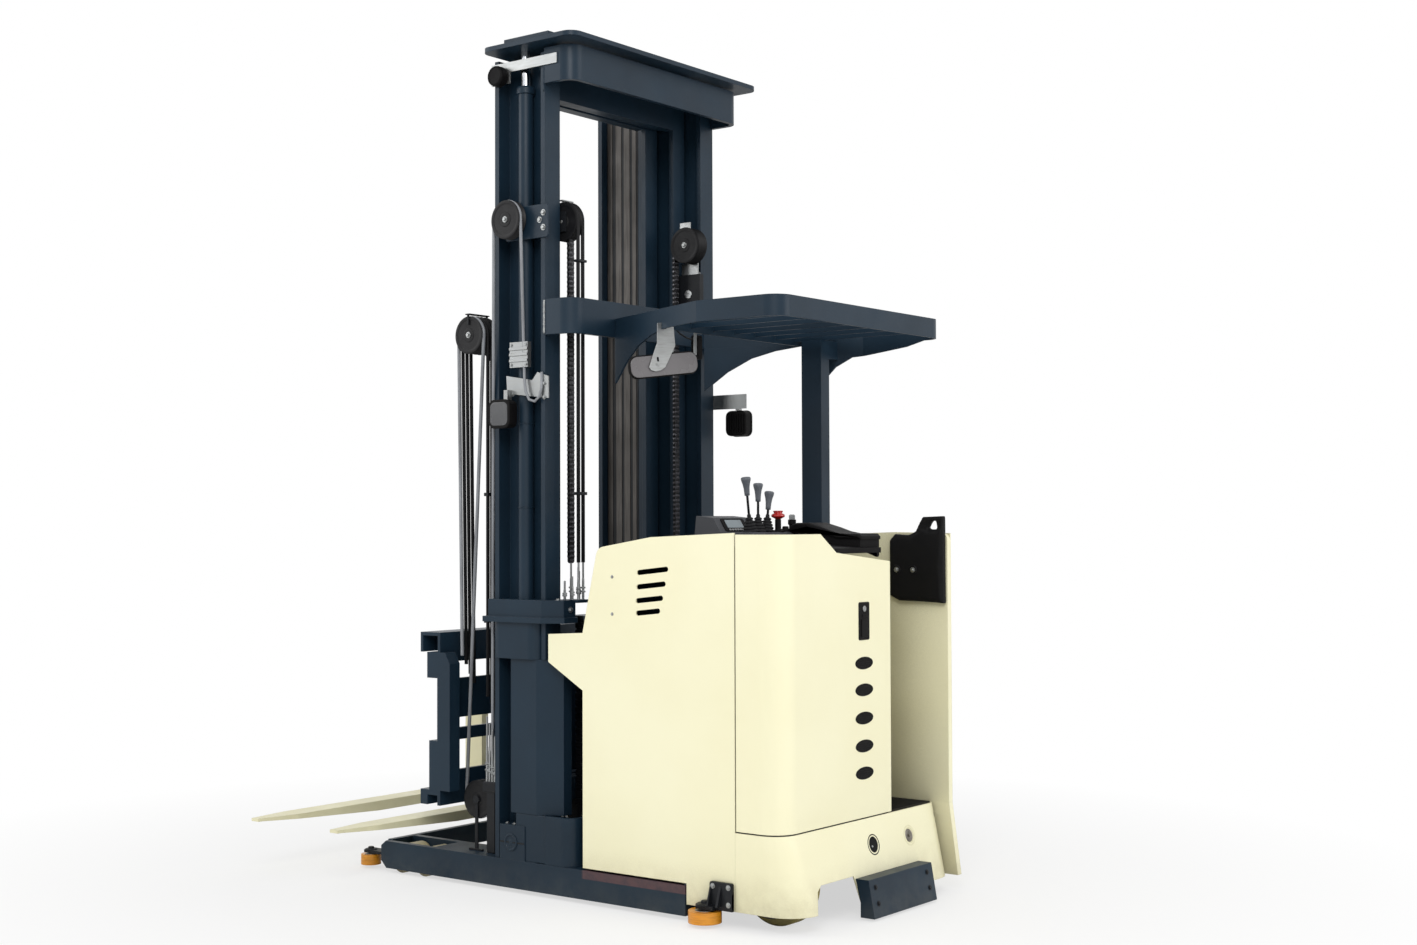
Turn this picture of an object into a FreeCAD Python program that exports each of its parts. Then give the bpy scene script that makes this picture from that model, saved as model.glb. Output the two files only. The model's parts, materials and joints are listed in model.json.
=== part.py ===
import FreeCAD, Part
import math
import os

V = FreeCAD.Vector

# Three-way forklift. Millimetres, +X towards the forks' mast, +Y to the truck's left, +Z up.
# The model is laid out from the rear door's face, the centre plane and the floor,
# and is moved at the end so that its origin is at the middle of its footprint.

# Body
body_half = 548.0
sheet = 6.0
seam = 5.0
body_bottom = 63.0
skirt_top = 343.0
skirt_flare = 70.0
door_seam_x = 203.0
panel_front_x = 925.0
panel_leg_z = 139.0
panel_leg_x = 424.0
nose_x = 1101.0
nose_slant_z = 812.0
nose_bottom_z = 913.0
nose_top_z = 1021.0
shoulder_x = 850.0
shoulder_z = 1356.0
side_top_z = 1413.0
corner_r = 92.0
shoulder_r = 40.0

# Operator's compartment
wing_rear_x = -55.0
wing_wall = 28.0
cabin_left_y = -179.0
cabin_front_x = 430.0
cabin_floor_z = 333.0
cabin_floor_t = 12.0
mat_t = 10.0
inner_wall_t = 14.0
wall_top_z = 1405.0

# Door in the rear left corner
door_left_z = 1407.0
door_step_y = 295.0
door_mid_z = 1338.0
door_mid_y = 190.0
door_right_z = 1300.0
lock_y = 8.0
lock_z = 1080.0
lock_w = 53.0
lock_h = 135.0
vent_w = 111.0
vent_h = 41.0
vent_z = [923.0, 823.0, 718.0, 614.0, 513.0]

# Door hinges: swan-neck arms on pins inside the side panel
hinge_x = 243.0
hinge_y = body_half - 20.0
hinge_z = [480.0, 1230.0]
hinge_h = 36.0
hinge_pin_r = 6.0
hinge_eye_r = 12.0
hinge_arm_t = 8.0

# Drive wheel
wheel_x = 124.0
wheel_y = body_half - 170.0
wheel_r = 150.0
wheel_w = 76.0
wheel_axle_r = 22.0
arch_y0 = wheel_y - 240.0
arch_y1 = wheel_y + 43.0
arch_top_z = 158.0
hub_r = 60.0
deck_z = 364.0
deck_t = 12.0

# Castor at the rear right
castor_x = 190.0
castor_y = -body_half + 196.0
castor_r = 75.0
castor_w = 50.0
castor_trail = 38.0
castor_axle_r = 9.0

# Legs and running gear
leg_rear_x = 430.0
leg_tip_x = 2043.0
leg_w = 190.0
leg_bottom_z = 19.0
leg_top_z = 130.0
tip_bar_t = 26.0
roller_r = 58.0
roller_w = 120.0
roller_x = [1820.0, 1956.0]
roller_pocket = 12.0
axle_r = 12.0

# Guide rollers beside the body and ahead of the leg tips
# each row: (x, y, radius)
guide_rows = {
    "rear": (329.0, body_half + 14.0, 61.0),
    "front": (leg_tip_x + 112.0, body_half - 46.0, 42.0),
}
guide_z = 14.0
guide_w = 43.0
guide_axle_r = 10.0
guide_plate_z = guide_z + guide_w + 6.0
chassis_plate_z = 60.0
chassis_plate_t = 16.0
battery_rear_x = 570.0
battery_front_x = 890.0
battery_top_z = 760.0

# Mast: three nested pairs of I rails, stepped forward and inward
post_x = 1122.0
post_depth = 270.0
flange = 22.0
web = 10.0
post_bottom_z = leg_top_z
post_top_z = 3317.0
rail_top_z = 3290.0
rail_bottom_z = 345.0
# each rail pair: (name, outer y, width, step forward, web's outer y)
rail_rows = {
    "outer": (body_half - 7, 87.0, 0.0, body_half - 70),
    "middle": (body_half - 102, 80.0, 82.0, body_half - 138),
    "inner": (body_half - 190, 80.0, 164.0, body_half - 226),
}
rail_roller_r = 52.0
running_gap = 0.5
pin_gap = 0.05

# Cross members around the mast's rear
yoke_rear_x = post_x - 145.0
yoke_half = body_half - 2.0
yoke_corner_r = 62.0
yoke_t = 20.0
guard_yoke_z = 2185.0
guard_yoke_h = 139.0
top_yoke_z = post_top_z - 145.0
top_yoke_h = 139.0
base_yoke_z = leg_top_z
base_yoke_h = 186.0
head_plate_t = 18.0
head_plate_gap = 6.0
head_plate_half = body_half + 60.0
head_plate_rear_x = post_x - 203.0
head_plate_front_x = post_x + post_depth + 20.0
head_corner_r = 50.0

# Lift cylinders
barrel_r = 30.0
barrel_y = body_half - 39.0
barrel_x = post_x + 131.0
trunnion_h = 136.0
barrel_bottom_z = leg_top_z + trunnion_h
barrel_top_z = post_top_z - 137.0
rod_r = 19.0
collar_z = 919.0
collar_h = 143.0
collar_r = 48.0

# Traverse frame
frame_rear_x = 1642.0
frame_half = body_half - 2.0
frame_z0 = 304.0
frame_z1 = 1006.0
frame_sheet = 17.0
top_channel_h = 81.0
low_channel_h = 61.0
stile_y0 = 160.0
stile_y1 = 220.0
channel_rear_x = 1697.0
channel_front_x = 1810.0

# Turret head and forks; the head stands at the right end, forks to the left
pivot_x = 2169.0
pivot_y = -body_half + 58.0
pivot_r = 30.0
head_half = 110.0
head_plate_x = 1818.0
fork_gap = 485.0
fork_w = 107.0
fork_t = 42.0
fork_top_z = 232.0
fork_length = 1276.0
fork_tip_t = 12.0
shank_face = 122.0
shank_top_z = 650.0

# Overhead guard
guard_top_z = 2258.0
guard_rim_h = 77.0
guard_half = body_half + 18.0
guard_rear_x = -14.0
guard_splay_x = 358.0
guard_neck_half = 291.0
guard_t = 8.0
guard_post_x = 503.0
guard_post_y = -body_half + 127.0
guard_post_w = 96.0

# Chain and cable sheaves
sheave_r = 77.0
sheave_pin_r = 12.0
rope_r = 5.0
# each row: (name, x, z, inner y, outer y, grooves)
sheave_rows = {
    "cable_top": (1286.0, 2647.0, body_half + 8, body_half + 44, 2),
    "cable_foot": (1557.0, 334.0, body_half - 120, body_half - 76, 2),
    "hose_top": (1560.0, 2214.0, body_half - 120, body_half - 29, 4),
    "chain_top_left": (1122.0, 2640.0, body_half - 152, body_half - 111, 3),
    "chain_top_right": (1122.0, 2640.0, -body_half + 148, -body_half + 206, 3),
}

# Runs of cable, hose and chain
cable_r = 6.0
hose_r = 7.0
chain_w = 28.0
chain_t = 12.0
clamp_z0 = 2063.0
clamp_z1 = 2163.0
hose_end_z = 800.0
chain_end_z = 1300.0
drop_end_z = 700.0

# Console on the body's top, with levers, stop button, key and armrest
console_x = 420.0
console_top_z = 1413.0
# each lever: base y, knob y, knob top z
lever_rows = [(150.0, 177.0, 1601.0), (100.0, 99.0, 1579.0), (45.0, 26.0, 1549.0)]
stop_y = -5.0
key_y = -100.0
armrest_y0 = -195.0
armrest_y1 = -60.0

# Mirror under the guard, work lamps on the posts
mirror_y = body_half - 117.0
mirror_z = 2050.0
mirror_w = 235.0
mirror_h = 76.0
lamp_w = 110.0
lamp_d = 50.0
lamp_z = 1880.0

# Rear bumper
bumper_y0 = -295.0
bumper_y1 = 150.0
bumper_bottom_z = 10.0
bumper_top_z = 148.0
bumper_top_depth = 35.0
bumper_bottom_depth = 60.0

# Rear and front extents, for the origin
rear_x = -skirt_flare - bumper_bottom_depth
front_x = pivot_x + fork_gap / 2 + fork_w / 2
left_y = pivot_y + shank_face + fork_length
right_y = -guide_rows["rear"][1] - guide_rows["rear"][2]
origin = V((rear_x + front_x) / 2, (left_y + right_y) / 2, 0)


def box(x0, x1, y0, y1, z0, z1):
    return Part.makeBox(x1 - x0, y1 - y0, z1 - z0, V(x0, y0, z0))


def cyl(radius, height, base, axis):
    return Part.makeCylinder(radius, height, base, axis)


def cyl_y(radius, x, z, y0, y1):
    return cyl(radius, y1 - y0, V(x, y0, z), V(0, 1, 0))


def cyl_x(radius, y, z, x0, x1):
    return cyl(radius, x1 - x0, V(x0, y, z), V(1, 0, 0))


def cyl_z(radius, x, y, z0, z1):
    return cyl(radius, z1 - z0, V(x, y, z0), V(0, 0, 1))


def polygon(points):
    return Part.Face(Part.makePolygon(points + [points[0]]))


def prism_xz(points, y0, y1):
    return polygon([V(x, y0, z) for x, z in points]).extrude(V(0, y1 - y0, 0))


def prism_xy(points, z0, z1):
    return polygon([V(x, y, z0) for x, y in points]).extrude(V(0, 0, z1 - z0))


def prism_yz(points, x0, x1):
    return polygon([V(x0, y, z) for y, z in points]).extrude(V(x1 - x0, 0, 0))


def bar(start, end, radius, far_radius, sides):
    # a many-sided bar between two points
    a = V(*start)
    b = V(*end)
    way = (b - a).normalize()
    side = way.cross(V(1, 0, 0) if abs(way.x) < 0.9 else V(0, 1, 0)).normalize()
    other = way.cross(side)
    turns = [2 * math.pi * i / sides for i in range(sides)]
    near = [a + side * (radius * math.cos(t)) + other * (radius * math.sin(t)) for t in turns]
    far = [b + side * (far_radius * math.cos(t)) + other * (far_radius * math.sin(t)) for t in turns]
    return flat_sided(near, far)


def flat_sided(low, high):
    # a solid between two outlines in parallel planes, with a flat side between each pair of edges
    sides = [polygon([low[i - 1], low[i], high[i], high[i - 1]]) for i in range(len(low))]
    return Part.makeSolid(Part.makeShell(sides + [polygon(low), polygon(high)]))


def mirror(shape):
    return shape.mirror(V(0, 0, 0), V(0, 1, 0))


def both_sides(shape):
    return Part.makeCompound([shape, mirror(shape)])


def vertical_edges(shape, test):
    found = []
    for edge in shape.Edges:
        a = edge.Vertexes[0].Point
        b = edge.Vertexes[-1].Point
        if abs(a.x - b.x) < 0.01 and abs(a.y - b.y) < 0.01 and abs(a.z - b.z) > 1 and test(a):
            found.append(edge)
    return found


def edges_along_y(shape, test):
    found = []
    for edge in shape.Edges:
        a = edge.Vertexes[0].Point
        b = edge.Vertexes[-1].Point
        if abs(a.x - b.x) < 0.01 and abs(a.z - b.z) < 0.01 and abs(a.y - b.y) > 1 and test(a):
            found.append(edge)
    return found


def slot_xz(length, height, x, z, tilt_deg, y0, y1):
    half = (length - height) / 2
    bar = box(-half, half, y0, y1, -height / 2, height / 2)
    ends = [cyl_y(height / 2, s * half, 0, y0, y1) for s in (-1, 1)]
    cutter = bar.fuse(ends)
    cutter.rotate(V(0, 0, 0), V(0, -1, 0), tilt_deg)
    cutter.translate(V(x, 0, z))
    return cutter


def side_profile():
    return [
        (door_seam_x, body_bottom),
        (panel_leg_x, body_bottom),
        (panel_leg_x, panel_leg_z),
        (panel_front_x, panel_leg_z),
        (panel_front_x, nose_slant_z),
        (nose_x, nose_bottom_z),
        (nose_x, nose_top_z),
        (panel_front_x, nose_top_z + 10),
        (shoulder_x, shoulder_z),
        (590.0, 1397.0),
        (door_seam_x, side_top_z),
    ]


def side_panel():
    panel = prism_xz(side_profile(), body_half - sheet, body_half)
    shoulder = edges_along_y(panel, lambda p: abs(p.x - shoulder_x) < 1 and abs(p.z - shoulder_z) < 1)
    return panel.makeFillet(shoulder_r, shoulder)


def side_vents():
    # rows: length, centre x, centre z
    rows = [(150, 580, 1272), (140, 587, 1218), (131, 595, 1166), (116, 602, 1119)]
    return [slot_xz(l, 19, x, z, -6, body_half - 20, body_half + 20) for l, x, z in rows]


def left_side():
    return side_panel().cut(side_vents())


def right_side():
    # the right wall is a double skin beside the compartment and a single sheet ahead of it
    outline = [(wing_rear_x, skirt_top), (door_seam_x, skirt_top)] + side_profile()[:-1] + [
        (door_seam_x, side_top_z - 4), (wing_rear_x, wall_top_z)]
    wall = prism_xz(outline, -body_half, -body_half + sheet)
    shoulder = edges_along_y(wall, lambda p: abs(p.x - shoulder_x) < 1 and abs(p.z - shoulder_z) < 1)
    wall = wall.makeFillet(shoulder_r, shoulder)
    liner = box(wing_rear_x, cabin_front_x, -body_half, -body_half + wing_wall, skirt_top, wall_top_z)
    rear = edges_along_y(liner, lambda p: p.x < wing_rear_x + 1 and p.z > wall_top_z - 1)
    liner = liner.makeFillet(25, rear)
    return wall.fuse(liner).removeSplitter()


def plan_ring(rear, half, radius, front, z):
    # the outline of the body's rear in plan, open at the front, as a closed wire
    k = radius * math.sqrt(0.5)
    cy = half - radius
    cx = rear + radius
    lines = [
        Part.LineSegment(V(front, half, z), V(cx, half, z)),
        Part.Arc(V(cx, half, z), V(cx - k, cy + k, z), V(rear, cy, z)),
        Part.LineSegment(V(rear, cy, z), V(rear, -cy, z)),
        Part.Arc(V(rear, -cy, z), V(cx - k, -cy - k, z), V(cx, -half, z)),
        Part.LineSegment(V(cx, -half, z), V(front, -half, z)),
        Part.LineSegment(V(front, -half, z), V(front, half, z)),
    ]
    return Part.Wire([line.toShape() for line in lines])


def corner_ends(x_rear, half, clear):
    # where edges at x_rear and at y = half end, so that the line between them clears the rear corner
    r = corner_r - sheet - clear
    cy = body_half - corner_r
    y = cy + math.sqrt(max(0, r * r - (corner_r - x_rear) ** 2))
    x = corner_r - math.sqrt(max(0, r * r - (half - cy) ** 2))
    return (x_rear, y), (x, half)


def floor_outline(x_rear, half, x_front, y_left):
    (xa, ya), (xb, yb) = corner_ends(x_rear, half, 2)
    return [(x_front, y_left), (xa, y_left), (xa, -ya), (xb, -yb), (x_front, -yb)]


def behind_door_outline(x_rear, x_front, y_right):
    # up to the left skin ahead of the door, and a seam clear of the door behind it
    half = body_half - sheet
    (xa, ya), (xb, yb) = corner_ends(x_rear, half - seam, seam)
    return [(x_front, y_right), (xa, y_right), (xa, ya), (xb, yb), (door_seam_x, yb),
            (door_seam_x, half), (x_front, half)]


def skirt_solid():
    # flat sides, and between them corners ruled from the wider foot to the top
    low = plan_ring(-skirt_flare, body_half, corner_r + 28, door_seam_x, body_bottom)
    high = plan_ring(0, body_half, corner_r, door_seam_x, skirt_top)
    faces = [Part.Face(low), Part.Face(high)]
    for a, b in zip(low.Edges, high.Edges):
        if a.Curve.TypeId == "Part::GeomLine":
            faces.append(polygon([a.valueAt(a.FirstParameter), a.valueAt(a.LastParameter),
                                  b.valueAt(b.LastParameter), b.valueAt(b.FirstParameter)]))
        else:
            faces.append(Part.makeRuledSurface(a, b))
    return Part.makeSolid(Part.makeShell(faces))


def skirt_hollow():
    # the inside, with its unseen corners in flat steps
    outlines = []
    for rear, radius, z in ((sheet - skirt_flare, corner_r + 28 - sheet, body_bottom),
                            (sheet, corner_r - sheet, skirt_top)):
        half = body_half - sheet
        turns = [math.pi / 16 * i for i in range(9)]
        corner = [(rear + radius - radius * math.sin(t), half - radius + radius * math.cos(t)) for t in turns]
        left = [V(x, y, z) for x, y in corner]
        right = [V(x, -y, z) for x, y in reversed(corner)]
        outlines.append([V(door_seam_x, half, z)] + left + right + [V(door_seam_x, -half, z)])
    return flat_sided(outlines[0], outlines[1])


def rear_skirt():
    wing = prism_xz([(wing_rear_x, skirt_top), (wing_rear_x - 38, body_bottom), (door_seam_x, body_bottom),
                     (door_seam_x, skirt_top)], -body_half, -body_half + wing_wall)
    shell = skirt_solid().cut(skirt_hollow()).fuse(wing)
    arch = prism_yz([(arch_y1 + 12, body_bottom - 20), (arch_y1 - 22, arch_top_z - 18),
                     (arch_y1 - 50, arch_top_z), (arch_y0 + 20, arch_top_z),
                     (arch_y0, body_bottom - 20)], -200, wheel_x)
    shell = shell.cut(arch)
    lamps = [cyl_x(29, y, 247, -120, 40) for y in (-13.0, -270.0)]
    slot = box(-120, 40, -body_half + 36, -body_half + 64, 288, 306)
    return shell.cut(lamps + [slot])


def service_door():
    outer = plan_ring(0, body_half, corner_r, door_seam_x - seam, skirt_top + seam)
    inner = plan_ring(sheet, body_half - sheet, corner_r - sheet, door_seam_x, skirt_top + seam)
    height = V(0, 0, door_left_z - skirt_top - seam)
    ring = Part.Face(outer).extrude(height).cut(Part.Face(inner).extrude(height))
    keep = box(-20, door_seam_x - seam, cabin_left_y, body_half + 5, 0, 2000)
    door = ring.common(keep)
    step = prism_yz([(cabin_left_y - 5, door_right_z), (door_mid_y, door_mid_z),
                     (door_step_y, door_left_z), (door_step_y, door_left_z + 50),
                     (cabin_left_y - 5, door_left_z + 50)], -50, 60)
    door = door.cut(step).fuse(door_arms())
    lock = box(-20, 20, lock_y - lock_w / 2, lock_y + lock_w / 2, lock_z - lock_h / 2, lock_z + lock_h / 2)
    holes = [lock]
    for z in vent_z:
        ellipse = Part.Ellipse(V(-20, lock_y, z), vent_w / 2, vent_h / 2)
        face = Part.Face(Part.Wire(ellipse.toShape()))
        face.rotate(V(-20, lock_y, z), V(0, 1, 0), 90)
        face.rotate(V(-20, lock_y, z), V(1, 0, 0), 90)
        holes.append(face.extrude(V(60, 0, 0)))
    return door.cut(holes)


def door_arm_path(z0, z1):
    # a swan neck from the pin, inward and round the side panel's edge to the door's inner face
    t = hinge_arm_t
    inner_face = body_half - sheet
    outline = [
        (hinge_x - t / 2, hinge_y), (hinge_x - t / 2, hinge_y - 44), (hinge_x - 46, hinge_y - 52),
        (hinge_x - 62, inner_face), (hinge_x - 62 - t - 14, inner_face),
        (hinge_x - 52 - t, hinge_y - 52 - t), (hinge_x + t / 2, hinge_y - 44 - t), (hinge_x + t / 2, hinge_y),
    ]
    return prism_xy(outline, z0, z1)


def door_arms():
    arms = []
    for z in hinge_z:
        arm = door_arm_path(z, z + hinge_h).fuse(cyl_z(hinge_eye_r, hinge_x, hinge_y, z, z + hinge_h))
        arms.append(arm.cut(cyl_z(hinge_pin_r + pin_gap, hinge_x, hinge_y, z - 1, z + hinge_h + 1)))
    return arms


def door_hinges():
    # a pin between two lugs on the side panel's inner face, one at each arm
    hinges = []
    for z in hinge_z:
        pin = cyl_z(hinge_pin_r, hinge_x, hinge_y, z - 14, z + hinge_h + 14)
        lugs = [box(hinge_x - 14, hinge_x + 14, hinge_y - 10, body_half - sheet, z0, z0 + 12)
                for z0 in (z - 13, z + hinge_h + 1)]
        hinges.append(pin.fuse(lugs).removeSplitter())
    return Part.makeCompound(hinges)


def door_lock():
    plate = box(sheet, sheet + 6, lock_y - lock_w / 2 - 8, lock_y + lock_w / 2 + 8,
                lock_z - lock_h / 2 - 8, lock_z + lock_h / 2 + 8)
    paddle = box(1.5, sheet + 1, lock_y - lock_w / 2 + 3, lock_y + lock_w / 2 - 3,
                 lock_z - lock_h / 2 + 3, lock_z + lock_h / 2 - 3)
    return plate.fuse(paddle)


def cabin_floor():
    outline = floor_outline(sheet + seam, body_half - wing_wall, cabin_front_x, cabin_left_y)
    return prism_xy(outline, cabin_floor_z - cabin_floor_t, cabin_floor_z)


def floor_mat():
    outline = floor_outline(2 * sheet, body_half - wing_wall - 4, cabin_front_x - inner_wall_t - 4,
                            cabin_left_y - inner_wall_t - 4)
    return prism_xy(outline, cabin_floor_z, cabin_floor_z + mat_t)


def cabin_walls():
    # the compartment's left and front walls
    z0 = cabin_floor_z
    left = box(sheet + 8, cabin_front_x, cabin_left_y - inner_wall_t, cabin_left_y, z0, 1290)
    front = box(cabin_front_x - inner_wall_t, cabin_front_x, -body_half + wing_wall, cabin_left_y, z0, 1290)
    return left.fuse(front).removeSplitter()


def wall_pad():
    y1 = -body_half + wing_wall
    pad = prism_xz([(-57, 1122), (160, 1128), (205, 1150), (205, 1380), (180, 1406), (110, 1406),
                    (78, 1420), (40, 1477), (-57, 1477)], y1, y1 + 38)
    hole = prism_xz([(-30, 1425), (22, 1425), (0, 1460), (-22, 1462)], y1 - 5, y1 + 50)
    return pad.cut(hole)


def top_cover():
    z = side_top_z
    cover = prism_xz([(40, z - 60), (cabin_front_x + 10, z - 28), (590, z - 30), (shoulder_x - 30, z - 72),
                      (shoulder_x - 30, z - 90), (590, z - 50), (cabin_front_x, z - 50), (40, z - 80)],
                     cabin_left_y, body_half - sheet)
    ahead = prism_xz([(cabin_front_x, z - 50), (cabin_front_x, z - 28), (590, z - 30), (shoulder_x - 30, z - 72),
                      (shoulder_x - 30, z - 90), (590, z - 50)], -body_half + sheet, cabin_left_y)
    plan = prism_xy(behind_door_outline(40, shoulder_x, -body_half + sheet), 0, 2 * z)
    cover = cover.fuse(ahead).common(plan).cut(guard_post())
    liner = box(0, cabin_front_x, -body_half, -body_half + wing_wall, 0, 2000)
    return cover.cut(liner).removeSplitter()


def below_cover():
    # all that lies below the cover's upper face, to the left of the compartment
    z = side_top_z
    return prism_xz([(0, z - 300), (0, z - 63.2), (cabin_front_x + 10, z - 28), (590, z - 30),
                     (shoulder_x - 30, z - 72), (shoulder_x - 30, z - 300)], cabin_left_y, body_half)


def front_panel():
    x1 = panel_front_x - 10
    return prism_xz([(x1 - sheet, panel_leg_z + 6), (x1, panel_leg_z + 6), (x1, nose_top_z + 40),
                     (shoulder_x - 20, side_top_z - 90), (shoulder_x - 26, side_top_z - 90),
                     (x1 - sheet, nose_top_z + 38)], -body_half + sheet, body_half - sheet)


def leg():
    y1 = body_half
    y0 = body_half - leg_w
    beam = prism_xz([(leg_rear_x, leg_bottom_z), (leg_tip_x - 30, leg_bottom_z), (leg_tip_x, leg_bottom_z + 30),
                     (leg_tip_x, leg_top_z - 20), (leg_tip_x - 26, leg_top_z), (leg_rear_x, leg_top_z)], y0, y1)
    reach = roller_r + roller_pocket
    middle = (y0 + y1) / 2
    half = roller_w / 2 + 8
    return beam.cut(box(roller_x[0] - reach, roller_x[1] + reach, middle - half, middle + half, 0, 200))


def chassis_frame():
    # legs, the plate between them, a bar at their tips and the raised deck at the rear
    inner = body_half - leg_w
    skin = body_half - sheet
    legs = both_sides(leg())
    plate = box(leg_rear_x, 1420, -inner, inner, chassis_plate_z, chassis_plate_z + chassis_plate_t)
    bulkhead = box(leg_rear_x - 6, leg_rear_x + 10, -skin, skin, chassis_plate_z, deck_z + deck_t)
    bulkhead = bulkhead.cut(box(leg_rear_x - 10, leg_rear_x + 20, -skin - 1, cabin_left_y + 6,
                                cabin_floor_z - cabin_floor_t, deck_z + deck_t + 1))
    deck = prism_xy(behind_door_outline(30, leg_rear_x, cabin_left_y + 6), deck_z, deck_z + deck_t)
    deck = deck.cut(cyl_z(hub_r + running_gap, wheel_x, wheel_y, deck_z - 1, deck_z + deck_t + 1))
    low_z = cabin_floor_z - cabin_floor_t
    low_deck = prism_xy(floor_outline(30, body_half - wing_wall, leg_rear_x, cabin_left_y + 6), low_z - deck_t, low_z)
    step = box(30, leg_rear_x, cabin_left_y + 1, cabin_left_y + 13, low_z - deck_t, deck_z + deck_t)
    bar = box(leg_tip_x - 4, leg_tip_x + tip_bar_t - 4, -body_half + 60, body_half - 60, 40, 126)
    return legs.fuse([plate, bulkhead, deck, low_deck, step, bar]).removeSplitter()


def load_roller(x, side):
    yc = side * (body_half - leg_w / 2)
    tyre = cyl_y(roller_r, x, roller_r, yc - roller_w / 2, yc + roller_w / 2)
    return tyre.cut(cyl_y(axle_r + pin_gap, x, roller_r, yc - roller_w, yc + roller_w))


def load_axles():
    yc = body_half - leg_w / 2
    half = roller_w / 2 + 8
    pins = [cyl_y(axle_r, x, roller_r, yc - half, yc + half) for x in roller_x]
    return Part.makeCompound(pins + [mirror(p) for p in pins])


def yoke(z0, height, inner_front):
    # a plate bent round the mast's rear: U in plan with round corners
    outer = box(yoke_rear_x, inner_front, -yoke_half, yoke_half, z0, z0 + height)
    outer = outer.makeFillet(yoke_corner_r, vertical_edges(outer, lambda p: p.x < yoke_rear_x + 1))
    inner = box(yoke_rear_x + yoke_t, inner_front + 5, -yoke_half + yoke_t, yoke_half - yoke_t,
                z0 - 1, z0 + height + 1)
    inner = inner.makeFillet(yoke_corner_r - yoke_t,
                             vertical_edges(inner, lambda p: p.x < yoke_rear_x + yoke_t + 1))
    return outer.cut(inner)


def rail(name, z0, z1):
    outer_y, width, step, web_y = rail_rows[name]
    x0 = post_x + step
    x1 = x0 + post_depth
    rear = box(x0, x0 + flange, outer_y - width, outer_y, z0, z1)
    front = box(x1 - flange, x1, outer_y - width, outer_y, z0, z1)
    plate = box(x0, x1, web_y - web, web_y, z0, z1)
    return rear.fuse([front, plate]).removeSplitter()


def rail_roller(holder, runner, front, z):
    # a roller on the holder's web that bears on the inner face of the runner's flange
    x0 = post_x + rail_rows[runner][2]
    reach = rail_roller_r + running_gap
    x = x0 + post_depth - flange - reach if front else x0 + flange + reach
    a = rail_rows[holder][3]
    b = rail_rows[runner][3]
    if a > b:
        return cyl_y(rail_roller_r, x, z, b + 2, a - web)
    return cyl_y(rail_roller_r, x, z, a, b - web - 2)


def outer_posts():
    # each post is boxed in below its collar, with a chamfered rear corner
    z0 = base_yoke_z + base_yoke_h
    y = rail_rows["outer"][0]
    outer = [(post_x + 178, y + sheet), (post_x + 43, y + sheet), (post_x - 58, y - 41), (post_x - 58, y - 87)]
    inner = [(post_x - 52, y - 87), (post_x - 52, y - 44), (post_x + 45, y), (post_x + 178, y)]
    cover = prism_xy(outer + inner, z0, collar_z)
    wedge = prism_xy([outer[1], outer[2], (outer[2][0], y + 60), (outer[1][0], y + 60)], z0, collar_z)
    post = rail("outer", post_bottom_z, post_top_z - 20).cut(wedge)
    parts = [cover, rail_roller("outer", "middle", False, post_top_z - 87)]
    return both_sides(post.fuse(parts).removeSplitter())


def trunnion():
    # split blocks that hold the cylinders' feet, in the posts' outer recess
    block = box(barrel_x - 27, barrel_x + 107, rail_rows["outer"][3] + 4, body_half, leg_top_z,
                leg_top_z + trunnion_h)
    return block


def barrel_collar():
    # a stepped bracket that ties each cylinder to its post
    y0 = rail_rows["outer"][0] - rail_rows["outer"][1] - 3
    rear, front = post_x, post_x + post_depth
    z1 = collar_z + collar_h
    lip = prism_xy([(rear - 88, y0), (front + 32, y0), (front + 32, body_half + 32), (rear - 10, body_half + 32),
                    (rear - 88, body_half - 18)], z1, z1 + 22)
    cap = prism_xy([(rear - 76, y0), (front + 14, y0), (front + 14, body_half + 18), (rear - 2, body_half + 18),
                    (rear - 76, body_half - 28)], z1 + 22, z1 + 89)
    block = box(rear + 28, front + 8, y0, body_half + 14, collar_z, z1)
    block = block.makeFillet(collar_r, vertical_edges(block, lambda p: p.y > body_half + 13))
    body = cap.fuse([lip, block]).removeSplitter()
    track = box(post_x, post_x + post_depth, 0, rail_rows["outer"][3], collar_z - 20, z1 + 120)
    body = body.cut([rail("outer", collar_z - 20, z1 + 120), track])
    return body.cut(cyl_z(barrel_r, barrel_x, barrel_y, collar_z - 20, z1 + 120))


def cylinder_mounts():
    one = [trunnion(), barrel_collar()]
    return Part.makeCompound(one + [mirror(shape) for shape in one])


def middle_mast():
    top = post_top_z + head_plate_gap
    side = rail("middle", rail_bottom_z, top)
    side = side.fuse([rail_roller("middle", "outer", True, rail_bottom_z + 105),
                      rail_roller("middle", "inner", False, top - 93)])
    rails = both_sides(side)
    x0 = post_x + rail_rows["middle"][2]
    half = rail_rows["middle"][0] - rail_rows["middle"][1]
    beams = [box(x0, x0 + 58, -half, half, z0, z0 + h) for z0, h in ((top - 173, 120), (rail_bottom_z, 90))]
    return rails.fuse(beams + [mast_head()]).removeSplitter()


def mast_head():
    # the plate over the posts, open in front where the inner rails rise through it
    z0 = post_top_z + head_plate_gap
    z1 = z0 + head_plate_t
    plate = box(head_plate_rear_x, head_plate_front_x, -head_plate_half, head_plate_half, z0, z1)
    plate = plate.makeFillet(head_corner_r, vertical_edges(plate, lambda p: True))
    rail_x = post_x + rail_rows["inner"][2]
    half = rail_rows["inner"][0] + 5
    pads = [box(post_x - 60, post_x + 175, s - 30, s + 30, z1, z1 + 20) for s in (-body_half - 10, body_half + 10)]
    return plate.cut(box(rail_x - 5, head_plate_front_x + 1, -half, half, z0 - 1, z1 + 1)).fuse(pads)


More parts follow.
